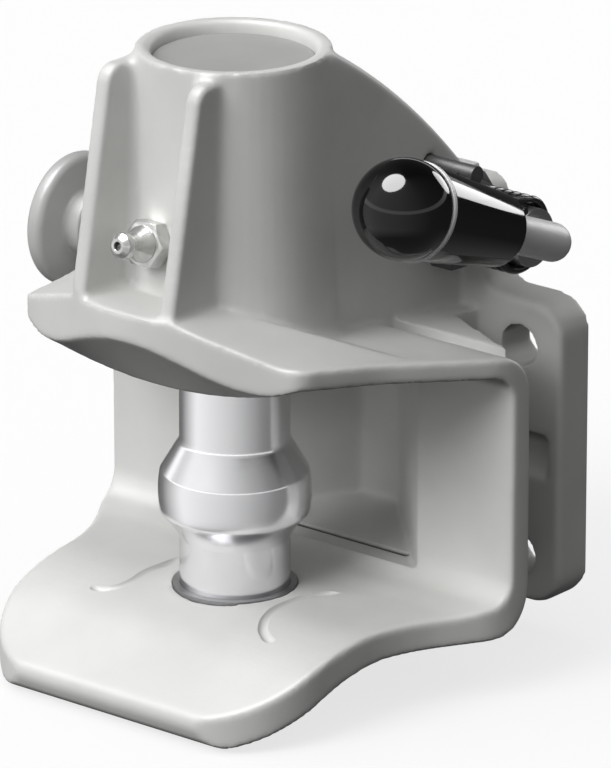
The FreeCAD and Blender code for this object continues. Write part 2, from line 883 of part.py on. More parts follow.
def cross_pin(radius):
    """Pin through the finger's hub and the shaft."""
    centre = V(0, shaft_back, shaft_height)
    upward = V(0, -finger_way().z, finger_way().y)
    reach = shaft_radius + running_gap + hub_wall - 0.5
    return rod(radius, centre - upward * reach, centre + upward * reach)


def lift_finger():
    """Finger that lifts the pin: a hub, a tapered arm and a round tip."""
    hub_half = cavity_half_width - 0.4
    hub_radius = shaft_radius + running_gap + hub_wall
    arm = slab("side", [
        (0, -finger_root, 0),
        (finger_neck_start * 0.5, -finger_root + 1, 0),
        (finger_neck_start, -finger_neck, 0),
        (finger_length, -finger_neck, 0),
        (finger_length, finger_neck, 0),
        (finger_neck_start, finger_neck, 0),
        (finger_neck_start * 0.5, finger_root - 1, 0),
        (0, finger_root, 0),
    ], -finger_half_width, finger_half_width)
    tip = across(finger_tip_radius, -finger_half_width, finger_half_width, finger_length, 0)
    hub = across(hub_radius, -hub_half, hub_half, 0, 0)
    bore = across(shaft_radius + pressed_gap, -hub_half - 1, hub_half + 1, 0, 0)
    body = arm.multiFuse([tip, hub]).cut(bore)
    turn = FreeCAD.Rotation(V(1, 0, 0), 180 + math.degrees(closed_angle))
    body.Placement = FreeCAD.Placement(V(0, shaft_back, shaft_height), turn)
    return body.cut(cross_pin(cross_pin_radius + pressed_gap))


def shaft_bush(side):
    """Plain bearing bush in one wall of the housing."""
    low = side * cavity_half_width
    high = side * housing_half_width
    ring = across(bearing_radius, low, high, shaft_back, shaft_height)
    return ring.cut(across(shaft_radius + running_gap, low - side, high + side, shaft_back, shaft_height))


def bearing_nut():
    """Hexagonal collar round the shaft where it leaves the housing."""
    start = V(housing_half_width, shaft_back, shaft_height)
    body = hexagon(collar_flats, collar_length, start, V(1, 0, 0))
    body = body.cut(across(shaft_radius + free_gap, 0, beyond, shaft_back, shaft_height))
    seat_start = collar_end - seal_length
    seat = across(shaft_radius + seal_wall, seat_start, collar_end + 1, shaft_back, shaft_height)
    return body.cut(seat)


def shaft_seal():
    """Rubber ring in the collar's recess."""
    outer = across(shaft_radius + seal_wall - pressed_gap, collar_end - seal_length, collar_end,
                   shaft_back, shaft_height)
    return outer.cut(across(shaft_radius + free_gap, 0, beyond, shaft_back, shaft_height))


def thrust_washer():
    """Washer between the collar and the spring."""
    outer = across(washer_radius, collar_end, collar_end + washer_thickness, shaft_back, shaft_height)
    return outer.cut(across(shaft_radius + free_gap, 0, beyond, shaft_back, shaft_height))


def closing_spring():
    """Torsion spring round the shaft that turns the lever and the pin shut."""
    radius = spring_inner + 0.5 * spring_wire
    start = V(spring_start, shaft_back, shaft_height)
    return coil(radius, spring_wire, spring_turns, spring_length, start, V(1, 0, 0))


def spring_peg():
    """Peg in the housing's wall that holds the fixed end of the closing spring."""
    start = housing_half_width - peg_depth
    return across(peg_radius, start, start + peg_depth + peg_length, peg_back, peg_height)


def shaft_end_cap():
    """Cap over the shaft's blind end on the left."""
    high = -housing_half_width
    return across(cap_radius, high - cap_thickness, high, shaft_back, shaft_height)


def hand_lever():
    """Round rod with rounded end, welded across the end of the shaft."""
    tail = lever_root - lever_way * lever_tail
    body = rod(lever_rod_radius, tail, lever_root + lever_way * grip_bore_depth)
    return body.fuse(Part.makeSphere(lever_rod_radius, tail))


def lever_grip():
    """Tapered grip with a ball at its end and a groove between them."""
    ball_start = grip_ball_reach - grip_ball_overlap
    groove_end = ball_start - grip_groove_width
    groove_start = groove_end - grip_groove_width
    groove_edge = groove_start - grip_groove
    grip = turned([
        (grip_start, 0), (grip_start, grip_start_radius - 1), (grip_start + 1, grip_start_radius),
        (groove_edge, grip_neck_radius), (groove_start, grip_neck_radius - grip_groove),
        (groove_end, grip_neck_radius - grip_groove), (ball_start, grip_neck_radius),
        (ball_start, 0),
    ], lever_root, lever_way)
    ball = Part.makeSphere(grip_ball_radius, lever_root + lever_way * grip_ball_reach)
    behind = rod(2 * grip_ball_radius, lever_root, lever_root + lever_way * ball_start)
    grip = grip.fuse(ball.cut(behind))
    bore_end = lever_root + lever_way * grip_bore_depth
    return grip.cut(rod(lever_rod_radius + pressed_gap, lever_root, bore_end))


def grease_nipple():
    """Hexagonal grease nipple with a cone and a round head."""
    seat = nipple_seat()
    way = nipple_way()
    cone = nipple_hex_length + nipple_cone_length
    neck_end = cone + nipple_neck_length
    head_end = neck_end + nipple_head_length
    thread = nipple_thread_length()
    body = turned([
        (-thread, 0), (-thread, nipple_thread_radius - 0.5), (0.5 - thread, nipple_thread_radius),
        (1, nipple_thread_radius), (1, nipple_cone_radius),
        (nipple_hex_length + 1, nipple_cone_radius), (cone, nipple_neck_radius + 0.6),
        (neck_end, nipple_neck_radius), (neck_end + 1.2, nipple_head_radius),
        (head_end - 1.2, nipple_head_radius), (head_end, nipple_head_radius - 1.4), (head_end, 0),
    ], seat, way)
    body = body.fuse(hexagon(nipple_flats, nipple_hex_length, seat + way * nipple_stand_off, way))
    return body.cut(rod(nipple_hole_radius, seat - way * beyond, seat + way * beyond))


def nipple_ball():
    """Ball that closes the nipple's mouth."""
    reach = nipple_hex_length + nipple_cone_length + nipple_neck_length + nipple_head_length
    return Part.makeSphere(nipple_hole_radius - pressed_gap, nipple_seat() + nipple_way() * (reach - 1.6))


def lock_way(start, end, radius):
    """Cylinder on the locking bolt's axis, distances given to the left."""
    return across(radius, -end, -start, lock_back, lock_height)


def locking_bolt():
    """Bolt with a nose, a shoulder for its spring and a long stem."""
    nose_end = lock_chamber_start + free_gap
    shoulder_end = nose_end + lock_shoulder_length
    nose = lock_way(lock_nose_start, nose_end, lock_nose_radius)
    shoulder = lock_way(nose_end, shoulder_end, lock_shoulder_radius)
    stem = lock_way(shoulder_end, knob_disc, lock_stem_radius)
    return nose.multiFuse([shoulder, stem]).cut(knob_pin_shape(knob_pin_radius + pressed_gap))


def locking_sleeve():
    """Hexagonal sleeve screwed into the boss, guiding the stem."""
    body = lock_way(lock_boss_end - sleeve_depth, lock_boss_end, lock_chamber_radius - pressed_gap)
    start = V(-lock_boss_end, lock_back, lock_height)
    body = body.fuse(hexagon(sleeve_flats, sleeve_flange, start, V(-1, 0, 0)))
    return body.cut(lock_way(0, knob_end, lock_stem_radius + running_gap))


def locking_spring():
    """Compression spring between the bolt's shoulder and the sleeve."""
    low = lock_chamber_start + free_gap + lock_shoulder_length
    high = lock_boss_end - sleeve_depth
    start = V(-low - 0.5 * lock_spring_wire - 0.1, lock_back, lock_height)
    length = high - low - lock_spring_wire - 0.2
    return coil(lock_spring_radius, lock_spring_wire, lock_spring_turns, length, start, V(-1, 0, 0))


def knob_pin_shape(radius):
    """Cross pin through the knob's hub and the stem."""
    middle = 0.5 * (knob_start + knob_step)
    reach = knob_small_radius - 0.4
    foot = V(-middle, lock_back, lock_height - reach)
    return rod(radius, foot, foot + V(0, 0, 2 * reach))


def locking_knob():
    """Round pull knob with a stepped hub."""
    knob = turned([
        (knob_start, 0), (knob_start, knob_small_radius), (knob_step, knob_small_radius),
        (knob_step, knob_hub_radius - 1), (knob_step + 1, knob_hub_radius), (knob_disc, knob_hub_radius),
        (knob_disc, knob_disc_radius - 1.5), (knob_disc + 1.5, knob_disc_radius),
        (knob_end - 1.5, knob_disc_radius), (knob_end, knob_disc_radius - 2), (knob_end, 0),
    ], V(0, lock_back, lock_height), V(-1, 0, 0))
    bore = lock_way(knob_start - 1, knob_disc + pressed_gap, lock_stem_radius + pressed_gap)
    return knob.cut(bore).cut(knob_pin_shape(knob_pin_radius + pressed_gap))


def save(name, shape):
    """Writes one piece, moved to the row's own origin."""
    placed = shape.copy()
    placed.translate(row_origin)
    placed.exportStep("parts/" + name + ".step")


def main():
    os.makedirs("parts", exist_ok=True)
    pieces = {
        "coupling_body": coupling_body(),
        "tower_bush": tower_bush(),
        "lower_bush": lower_bush(),
        "coupling_pin": coupling_pin(),
        "top_cover": top_cover(),
        "lever_shaft": lever_shaft(),
        "lift_finger": lift_finger(),
        "finger_pin": cross_pin(cross_pin_radius),
        "shaft_bush_right": shaft_bush(1),
        "shaft_bush_left": shaft_bush(-1),
        "bearing_nut": bearing_nut(),
        "shaft_seal": shaft_seal(),
        "thrust_washer": thrust_washer(),
        "shaft_end_cap": shaft_end_cap(),
        "closing_spring": closing_spring(),
        "spring_peg": spring_peg(),
        "hand_lever": hand_lever(),
        "lever_grip": lever_grip(),
        "grease_nipple": grease_nipple(),
        "nipple_ball": nipple_ball(),
        "locking_bolt": locking_bolt(),
        "locking_sleeve": locking_sleeve(),
        "locking_spring": locking_spring(),
        "locking_knob": locking_knob(),
        "knob_pin": knob_pin_shape(knob_pin_radius),
    }
    for name, shape in pieces.items():
        save(name, shape)
        print(name, len(shape.Solids), shape.isValid(), round(shape.Volume / 1000, 2))
    print("lever range in degrees", round(math.degrees(lever_turn), 3))
    print("pin metres per radian", round(0.001 * pin_travel / lever_turn, 6))


main()
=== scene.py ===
# %% [markdown]
# Automatic trailer coupling.
# This lesson dresses a finished CAD model of a trailer coupling: a light grey casting with two jaws,
# a polished pin between them, and a black hand lever that lifts the pin.
# The CAD model is loaded first and never moved. What needs a finer surface is modelled here
# and put in the place of its CAD solid.
# The model's origin is the middle of its four bolt holes. Sizes below are in mm about the pin's axis
# and the seat on the lower jaw, as on the maker's drawing, and one function turns them into places.

# %% Load the CAD model
import json
import math

import bpy
from mathutils import Matrix, Vector


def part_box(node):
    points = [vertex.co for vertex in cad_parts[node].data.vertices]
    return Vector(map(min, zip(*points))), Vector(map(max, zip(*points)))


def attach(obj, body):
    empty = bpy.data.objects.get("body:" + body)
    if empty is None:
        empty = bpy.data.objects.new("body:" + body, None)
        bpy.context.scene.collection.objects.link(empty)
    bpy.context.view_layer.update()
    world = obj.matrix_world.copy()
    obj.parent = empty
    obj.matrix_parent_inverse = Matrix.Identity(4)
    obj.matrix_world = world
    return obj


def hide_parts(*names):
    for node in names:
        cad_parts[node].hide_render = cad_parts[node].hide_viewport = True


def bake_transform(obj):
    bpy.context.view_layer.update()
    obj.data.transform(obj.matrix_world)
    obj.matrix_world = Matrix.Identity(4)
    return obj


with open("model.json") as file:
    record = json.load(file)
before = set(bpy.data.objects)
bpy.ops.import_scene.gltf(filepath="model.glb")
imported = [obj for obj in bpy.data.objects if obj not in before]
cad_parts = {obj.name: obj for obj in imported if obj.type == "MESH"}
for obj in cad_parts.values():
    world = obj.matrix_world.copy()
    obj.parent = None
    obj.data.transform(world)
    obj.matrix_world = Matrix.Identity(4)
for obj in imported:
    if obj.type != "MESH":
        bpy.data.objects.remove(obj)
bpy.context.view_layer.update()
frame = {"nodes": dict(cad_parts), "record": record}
MM = 0.001
PLATE_REAR = 74.0
BOLT_MIDDLE = 27.0


def spot(x, y, z):
    """A point given in mm about the pin, as a place in the scene."""
    return Vector((x, y - PLATE_REAR, z - BOLT_MIDDLE)) * MM


# %% [markdown]
# The camera. The picture is a technical drawing with nearly parallel edges, so the lens is very long
# and stands two metres away, 39.5 degrees to the right of the front and 19.5 degrees up.
# A long lens keeps the proportions of the drawing, where a wide one would swell the near jaw.

# %% Camera
VIEW_TURN = math.radians(39.5)
VIEW_RISE = math.radians(19.5)
VIEW_DISTANCE = 2.0
LENS = 373.0
AIM = spot(0, 20, 60)
AIM_RIGHT = 5.0 * MM
AIM_DOWN = 12.3 * MM
SENSOR_WIDTH = 36
FAR_CLIP = 50


def add_camera():
    """A long lens that looks along the drawing's line of sight."""
    back = Vector((
        math.sin(VIEW_TURN) * math.cos(VIEW_RISE),
        -math.cos(VIEW_TURN) * math.cos(VIEW_RISE),
        math.sin(VIEW_RISE),
    ))
    right = Vector((math.cos(VIEW_TURN), math.sin(VIEW_TURN), 0))
    up = back.cross(right)
    data = bpy.data.cameras.new("camera")
    data.lens = LENS
    data.sensor_width = SENSOR_WIDTH
    data.clip_end = FAR_CLIP
    camera = bpy.data.objects.new("camera", data)
    camera.location = AIM + back * VIEW_DISTANCE + right * AIM_RIGHT - up * AIM_DOWN
    camera.rotation_euler = back.to_track_quat("Z", "Y").to_euler()
    bpy.context.scene.collection.objects.link(camera)
    bpy.context.scene.camera = camera
    return camera


camera = add_camera()
print("camera at", [round(value, 3) for value in camera.location])

# %% [markdown]
# Colours are written as sRGB hex values, the way a paint chart gives them, and one function turns
# them into the linear values that the shaders count in. One more function adds a shader node with
# its settings, links and ramp stops, so that each material below reads as a short list.

# %% Helpers for materials
def paint(code):
    """sRGB hex colour as linear red, green, blue and alpha."""
    parts = [int(code[i:i + 2], 16) / 255 for i in (1, 3, 5)]
    linear = [part / 12.92 if part <= 0.04045 else ((part + 0.055) / 1.055) ** 2.4 for part in parts]
    return (*linear, 1.0)


def two_tones(dark, light):
    """Ramp stops that mix two shades over the middle of a noise, where most of its values lie."""
    return [(0.35, paint(dark)), (0.65, paint(light))]


def node(tree, kind, settings=None, inputs=None, stops=()):
    """Adds a shader node with its properties, inputs and ramp stops, and links the given sockets."""
    made = tree.nodes.new("ShaderNode" + kind)
    for key, value in (settings or {}).items():
        setattr(made, key, value)
    for key, value in (inputs or {}).items():
        if isinstance(value, bpy.types.NodeSocket):
            tree.links.new(value, made.inputs[key])
        else:
            made.inputs[key].default_value = value
    if stops:
        band = made.color_ramp.elements
        while len(band) < len(stops):
            band.new(0.5)
        for element, (position, colour) in zip(band, stops):
            element.position = position
            element.color = colour
    return made


def finish(name, **values):
    """New material with a Principled shader, set from plain values."""
    made = bpy.data.materials.new(name)
    made.use_nodes = True
    shader = made.node_tree.nodes["Principled BSDF"]
    for key, value in values.items():
        shader.inputs[key].default_value = value
    print("finish:", name)
    return made, made.node_tree, shader


# %% [markdown]
# The body is cast steel under a light grey coating. Sand casting leaves a fine pebbled skin,
# which the coating softens, so the bump is low and about a millimetre across. The colour drifts
# slightly. The faces that look down are painted darker, a painted shade that keeps the undersides
# dark.

# %% Coated cast steel
CAST_GRAIN = 1.1 * MM
CAST_GRAIN_DEPTH = 0.25 * MM
CAST_GRAIN_STRENGTH = 0.12
CAST_DRIFT = 28 * MM
# Painted shade: the colour starts to darken where a face's normal points down past the first height and is
# fully dark past the second.
SHADE_BELOW_START = -0.35
SHADE_BELOW_FULL = -0.75


def painted_underside_shade(tree, colour, thinning_or_painted_shade):
    """Colour that turns into a painted shade where the surface looks down."""
    normal = node(tree, "NewGeometry").outputs["Normal"]
    height = node(tree, "SeparateXYZ", inputs={"Vector": normal}).outputs["Z"]
    share = node(tree, "MapRange", inputs={"Value": height, 1: SHADE_BELOW_START, 2: SHADE_BELOW_FULL}).outputs["Result"]
    return node(tree, "Mix", {"data_type": "RGBA"}, {0: share, 6: colour, 7: paint(thinning_or_painted_shade)}).outputs[2]


def coated_cast_steel(name, light, dark, roughness, thinning_or_painted_shade=None):
    """Grey coat over cast steel; the last argument is the colour of a painted shade on its undersides, where
    it has one.
    """
    made, tree, shader = finish(name, Roughness=roughness)
    place = node(tree, "TexCoord").outputs["Object"]
    drift = node(tree, "TexNoise", inputs={"Vector": place, "Scale": 1 / CAST_DRIFT, "Detail": 3.0})
    shades = node(tree, "ValToRGB", inputs={"Fac": drift.outputs["Fac"]}, stops=two_tones(dark, light))
    colour = shades.outputs["Color"]
    if thinning_or_painted_shade:
        colour = painted_underside_shade(tree, colour, thinning_or_painted_shade)
    tree.links.new(colour, shader.inputs["Base Color"])
    grain = node(tree, "TexNoise", inputs={"Vector": place, "Scale": 1 / CAST_GRAIN, "Detail": 4.0})
    skin = node(tree, "Bump", inputs={
        "Strength": CAST_GRAIN_STRENGTH, "Distance": CAST_GRAIN_DEPTH, "Height": grain.outputs["Fac"],
    })
    tree.links.new(skin.outputs["Normal"], shader.inputs["Normal"])
    return made


# The body's undersides are painted down to #646463, a painted shade.
body_coat = coated_cast_steel("coated_cast_steel", "#D3D3D1", "#CBCBC9", 0.52, "#646463")
cover_coat = coated_cast_steel("coated_sheet_steel", "#A8A8A7", "#A0A09F", 0.46)
knob_coat = coated_cast_steel("coated_knob_steel", "#B8B8B7", "#AEAEAD", 0.40)
lever_coat = coated_cast_steel("coated_lever_rod", "#E2E2E2", "#DADADA", 0.42)

# %% [markdown]
# The pin is hardened steel, ground and polished on a lathe. Grinding leaves rings well under a tenth
# of a millimetre apart, which stretch each highlight along the pin. They would be too fine to show,
# so they are drawn 0.7 mm apart.

# %% Ground and polished steel
RING_SPACING = 0.7 * MM
RING_DEPTH = 0.02 * MM
RING_STRENGTH = 0.3
ACROSS_THE_RINGS = 6.0


def ground_steel(name, code, roughness):
    made, tree, shader = finish(name, Metallic=1.0, Roughness=roughness)
    shader.inputs["Base Color"].default_value = paint(code)
    place = node(tree, "TexCoord").outputs["Object"]
    scale = (ACROSS_THE_RINGS, ACROSS_THE_RINGS, 1 / RING_SPACING)
    stretch = node(tree, "Mapping", inputs={"Vector": place, "Scale": scale})
    rings = node(tree, "TexNoise", inputs={"Vector": stretch.outputs["Vector"], "Scale": 1.0, "Detail": 2.0})
    bump = node(tree, "Bump", inputs={
        "Strength": RING_STRENGTH, "Distance": RING_DEPTH, "Height": rings.outputs["Fac"],
    })
    tree.links.new(bump.outputs["Normal"], shader.inputs["Normal"])
    return made


pin_steel = ground_steel("polished_pin_steel", "#F0F0F2", 0.2)
shaft_steel = ground_steel("ground_shaft_steel", "#9A9A9C", 0.30)

# %% [markdown]
# Small parts: bright zinc on the grease nipple and the sleeve, a dark phosphate skin on the collar,
# black lacquer on the spring, bronze in the bearings and rubber in the seal. Dipped and rubbed
# surfaces like these are slightly cloudy, in patches of a few millimetres, and that is all that the
# eye gets of them at this distance.

# %% Plated, blackened and bearing metals
CLOUD_DEPTH = 0.05 * MM
CLOUD_STRENGTH = 0.1


def mottled_metal(name, light, dark, metallic, roughness, size):
    """Two close shades in patches of a given size, which also dent the surface a little."""
    made, tree, shader = finish(name, Metallic=metallic, Roughness=roughness)
    place = node(tree, "TexCoord").outputs["Object"]
    cloud = node(tree, "TexNoise", inputs={"Vector": place, "Scale": 1 / size, "Detail": 3.0})
    shades = node(tree, "ValToRGB", inputs={"Fac": cloud.outputs["Fac"]}, stops=two_tones(dark, light))
    tree.links.new(shades.outputs["Color"], shader.inputs["Base Color"])
    bump = node(tree, "Bump", inputs={
        "Strength": CLOUD_STRENGTH, "Distance": CLOUD_DEPTH, "Height": cloud.outputs["Fac"],
    })
    tree.links.new(bump.outputs["Normal"], shader.inputs["Normal"])
    return made


zinc_plate = mottled_metal("bright_zinc_plate", "#CFCFCD", "#BDBDBB", 0.85, 0.24, 2 * MM)
phosphate_and_painted_shade = mottled_metal("phosphated_steel_and_painted_shade", "#565656", "#484848", 0.4, 0.45, 1.5 * MM)
lacquer = mottled_metal("black_lacquered_wire", "#141414", "#0C0C0C", 0.0, 0.22, 3 * MM)
bronze = mottled_metal("bearing_bronze", "#C9A46A", "#B08A52", 1.0, 0.32, 4 * MM)
forged = mottled_metal("forged_steel", "#6A6A6C", "#58585A", 0.7, 0.5, 3 * MM)
rubber = mottled_metal("seal_rubber", "#1C1C1C", "#141414", 0.0, 0.7, 1 * MM)

# %% [markdown]
# The grip is glossy black plastic, moulded in a polished tool, with a clear highlight. Thick plastic
# shrinks unevenly as it cools, which leaves very faint waves about nine millimetres long.

# %% Glossy moulded plastic
WAVE_LENGTH = 9 * MM
WAVE_DEPTH = 0.1 * MM
WAVE_STRENGTH = 0.04


def moulded_plastic(name, code):
    made, tree, shader = finish(name, Roughness=0.07, IOR=1.42)
    shader.inputs["Base Color"].default_value = paint(code)
    place = node(tree, "TexCoord").outputs["Object"]
    wave = node(tree, "TexNoise", inputs={"Vector": place, "Scale": 1 / WAVE_LENGTH, "Detail": 1.0})
    bump = node(tree, "Bump", inputs={
        "Strength": WAVE_STRENGTH, "Distance": WAVE_DEPTH, "Height": wave.outputs["Fac"],
    })
    tree.links.new(bump.outputs["Normal"], shader.inputs["Normal"])
    return made


grip_plastic = moulded_plastic("black_moulded_plastic", "#060606")

# %% [markdown]
# Every CAD node names the finish that it has, as a parts list does, so the materials are handed out
# in one loop. The spring's peg and the ball in the nipple's mouth then get the dark phosphate
# material as painted shade: the ball stands for the shadow deep in the nipple's mouth, and the peg
# for the shade that lies on the housing round it.

# %% Give every CAD node its finish
FINISH_OF_SLOT = {
    "cast_body": body_coat, "bronze": bronze, "hard_steel": shaft_steel, "pin_steel": pin_steel,
    "cover_grey": cover_coat, "forged_steel": forged, "black_steel": phosphate_and_painted_shade, "seal_rubber": rubber,
    "spring_black": lacquer, "lever_grey": lever_coat, "grip_black": grip_plastic, "zinc": zinc_plate,
    "knob_grey": knob_coat,
}
for entry in frame["record"]["subparts"]:
    solid = frame["nodes"][entry["node"]]
    solid.data.materials.clear()
    solid.data.materials.append(FINISH_OF_SLOT[entry["material_slot"]])
# Painted shade: these two nodes are made dark for the shadow in the nipple's mouth and the shade round the
# peg.
for dark in ("spring_peg", "nipple_ball"):
    frame["nodes"][dark].data.materials[0] = phosphate_and_painted_shade

# %% [markdown]
# Small tools for modelling. Each wraps an operator or a modifier that this lesson uses again and again:
# picking one object, applying its modifiers, welding its seams, standing it on its axis and cutting one
# solid with another.

# %% Helpers for modelling
SEAM = 0.004 * MM
SMOOTH_BELOW = math.radians(34)


def select_only(piece):
    """Makes one object the selected and active one."""
    bpy.ops.object.select_all(action="DESELECT")
    piece.select_set(True)
    bpy.context.view_layer.objects.active = piece


def apply_all(piece):
    """Applies every modifier of a piece in order."""
    select_only(piece)
    for modifier in list(piece.modifiers):
        bpy.ops.object.modifier_apply(modifier=modifier.name)


def weld(piece):
    """Merges doubled vertices and turns every face outwards."""
    select_only(piece)
    bpy.ops.object.mode_set(mode="EDIT")
    bpy.ops.mesh.select_all(action="SELECT")
    bpy.ops.mesh.remove_doubles(threshold=SEAM)
    bpy.ops.mesh.normals_make_consistent(inside=False)
    bpy.ops.object.mode_set(mode="OBJECT")


def shade(piece):
    """Smooth shading, with the edges sharper than the limit left crisp."""
    select_only(piece)
    bpy.ops.object.shade_smooth_by_angle(angle=SMOOTH_BELOW)


def settle(piece, start, way):
    """Stands a piece that was made along +Z at its start, pointing along way, and applies that."""
    piece.location = start
    piece.rotation_euler = way.to_track_quat("Z", "Y").to_euler()
    select_only(piece)
    bpy.ops.object.transform_apply(location=True, rotation=True, scale=True)


def new_piece(name, marks, edges, faces):
    """Object with a mesh from plain lists, linked into the scene."""
    mesh = bpy.data.meshes.new(name)
    mesh.from_pydata(marks, edges, faces)
    piece = bpy.data.objects.new(name, mesh)
    bpy.context.scene.collection.objects.link(piece)
    return piece


def combine(piece, other, operation):
    """Boolean of two closed pieces; the second one is used up."""
    cut = piece.modifiers.new("combine", "BOOLEAN")
    cut.operation = operation
    cut.solver = "EXACT"
    cut.object = other
    apply_all(piece)
    bpy.data.objects.remove(other)


def join(piece, others):
    """Joins closed shells into one piece."""
    select_only(piece)
    for other in others:
        other.select_set(True)
    bpy.ops.object.join()


def coat(piece, slot):
    """Gives a finished piece the material of its slot and prints how heavy its mesh is."""
    shade(piece)
    piece.data.materials.clear()
    piece.data.materials.append(FINISH_OF_SLOT[slot])
    print(piece.name, "triangles", sum(len(face.vertices) - 2 for face in piece.data.polygons))


def dress(piece, body, slot, *nodes):
    """Puts a finished piece on its body, in the place of its CAD nodes."""
    coat(piece, slot)
    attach(piece, body)
    if nodes:
        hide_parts(*nodes)


def copy_of(name, new_name):
    """Merged copy of a CAD node's mesh as a new object."""
    source = frame["nodes"][name]
    piece = bpy.data.objects.new(new_name, source.data.copy())
    bpy.context.scene.collection.objects.link(piece)
    select_only(piece)
    bpy.ops.object.mode_set(mode="EDIT")
    bpy.ops.mesh.select_all(action="SELECT")
    bpy.ops.mesh.remove_doubles(threshold=SEAM)
    bpy.ops.object.mode_set(mode="OBJECT")
    return piece


# %% [markdown]
# Half of the small pieces of this coupling come off a lathe: the pin, the cap, the knob, the lever
# and the body of the nipple. They are drawn here as a lathe operator's template: a row of corners
# (distance along the axis, radius, rounding), whose corners are rounded and whose outline is then
# turned once round the axis by a Screw modifier.

# %% A lathe
ARC_STEPS = 6
BOW_STEPS = 10
LATHE_STEPS = 96


def rounded(corners):
    """Outline through (along, radius, rounding) corners, each replaced by its arc."""
    points = []
    last = len(corners) - 1
    for index, (along, radius, rounding) in enumerate(corners):
        here = Vector((along, radius))
        if rounding == 0 or index in (0, last):
            points.append(here)
            continue
        into = (Vector(corners[index - 1][:2]) - here).normalized()
        away = (Vector(corners[index + 1][:2]) - here).normalized()
        half = 0.5 * into.angle(away)
        centre = here + (into + away).normalized() * (rounding / math.sin(half))
        reach = rounding / math.tan(half)
        first = here + into * reach - centre
        sweep = first.angle_signed(here + away * reach - centre)
        for step in range(ARC_STEPS + 1):
            points.append(centre + Matrix.Rotation(-sweep * step / ARC_STEPS, 2) @ first)
    return points


def bow(start, pull, end):
    """Curve from start to end without its ends, drawn towards a third point."""
    points = []
    for step in range(1, BOW_STEPS):
        share = step / BOW_STEPS
        near = Vector(start).lerp(Vector(pull), share)
        far = Vector(pull).lerp(Vector(end), share)
        points.append(near.lerp(far, share))
    return points


def lathe(name, outline, start, way, steps=LATHE_STEPS):
    """Turns an outline of (along, radius) points in mm into a closed piece."""
    marks = [(point[1] * MM, 0, point[0] * MM) for point in outline]
    piece = new_piece(name, marks, [(i, i + 1) for i in range(len(marks) - 1)], [])
    spin = piece.modifiers.new("spin", "SCREW")
    spin.steps = steps
    spin.render_steps = steps
    spin.use_merge_vertices = True
    spin.merge_threshold = SEAM
    apply_all(piece)
    weld(piece)
    settle(piece, start, way)
    return piece


def hexagonal_bar(name, flats, low, high, start, way):
    """Hexagonal bar along an axis, its size given across its flats."""
    radius = 0.5 * flats / math.cos(math.pi / 6) * MM
    bpy.ops.mesh.primitive_cylinder_add(vertices=6, radius=radius, depth=(high - low) * MM)
    piece = bpy.context.object
    piece.name = name
    piece.location = (0, 0, 0.5 * (low + high) * MM)
    piece.rotation_euler = (0, 0, math.pi / 2)
    bpy.ops.object.transform_apply(location=True, rotation=True, scale=True)
    settle(piece, start, way)
    return piece


# %% [markdown]
# The casting. Molten steel can't fill a knife-sharp corner, so every edge of a real casting is
# rounded and every inside corner has a fillet. A Remesh modifier rebuilds the CAD solid from small
# cells, and a smoothing pass rolls all its edges over by about a millimetre.

# %% Casting with rounded edges
CELL = 0.78 * MM
ROLL_PASSES = 5
ROLL_SHARE = 0.5


def soft_casting():
    piece = copy_of("coupling_body", "casting")
    cells = piece.modifiers.new("cells", "REMESH")
    cells.mode = "VOXEL"
    cells.voxel_size = CELL
    roll = piece.modifiers.new("roll", "SMOOTH")
    roll.factor = ROLL_SHARE
    roll.iterations = ROLL_PASSES
    apply_all(piece)
    return piece


casting = soft_casting()
print("casting rebuilt:", len(casting.data.polygons), "faces")

# %% [markdown]
# Two shallow creases run over the lower jaw, one on each side of the pin. They mark where the flat
# seat round the pin ends and the jaw starts to bend down and outwards. Each is cut with a round tool:
# a tube that follows the jaw's top and only just dips into it. Each route is a row of
# (right, back) places from the pin, in mm.

# %% Creases on the lower jaw
JAW_BEND_START = -6.2
JAW_BEND_RADIUS = 60.0
CREASE_TOOL = 1.5
CREASE_DEPTH = 0.9
CREASE_FADE = 2.2
CREASES = {
    "left": [
        (-30.2, -22.8), (-27.2, -22.2), (-23.6, -20.9), (-21.2, -16.9),
        (-21.4, -8.6), (-20.6, 2.2), (-20.6, 8),
    ],
    "right": [
        (31.8, -22.8), (29.6, -22.2), (27.0, -20.9), (24.0, -18), (21.2, -11.9),
        (20.4, -3.8), (21.4, 3.1), (24.5, 8.2), (28.5, 10.5),
    ],
}
TUBE_ROUNDNESS = 5
TUBE_STEPS = 12


def jaw_top(back):
    """Height in mm of the lower jaw's top: flat round the pin, bent down in front of it."""
    run = max(JAW_BEND_START - back, 0.0)
    return math.sqrt(JAW_BEND_RADIUS ** 2 - run ** 2) - JAW_BEND_RADIUS


def tube(name, places, radius):
    """Round wire or tool through points in the scene, as a closed mesh."""
    data = bpy.data.curves.new(name, "CURVE")
    data.dimensions = "3D"
    data.bevel_depth = radius * MM
    data.bevel_resolution = TUBE_ROUNDNESS
    data.resolution_u = TUBE_STEPS
    data.use_fill_caps = True
    path = data.splines.new("BEZIER")
    path.bezier_points.add(len(places) - 1)
    for mark, place in zip(path.bezier_points, places):
        mark.co = place
        mark.handle_left_type = "AUTO"
        mark.handle_right_type = "AUTO"
    piece = bpy.data.objects.new(name, data)
    bpy.context.scene.collection.objects.link(piece)
    select_only(piece)
    bpy.ops.object.convert(target="MESH")
    piece = bpy.context.object
    weld(piece)
    return piece


def crease_places(route):
    """Middle line of the tool: it dips into the jaw and lifts out again at both ends."""
    places = []
    for index, (x, y) in enumerate(route):
        rise = CREASE_FADE if index in (0, len(route) - 1) else -CREASE_DEPTH
        places.append(spot(x, y, jaw_top(y) + CREASE_TOOL + rise))
    return places


for side, route in CREASES.items():
    combine(casting, tube("crease_" + side, crease_places(route), CREASE_TOOL), "DIFFERENCE")
print("casting cut:", len(casting.data.polygons), "faces")

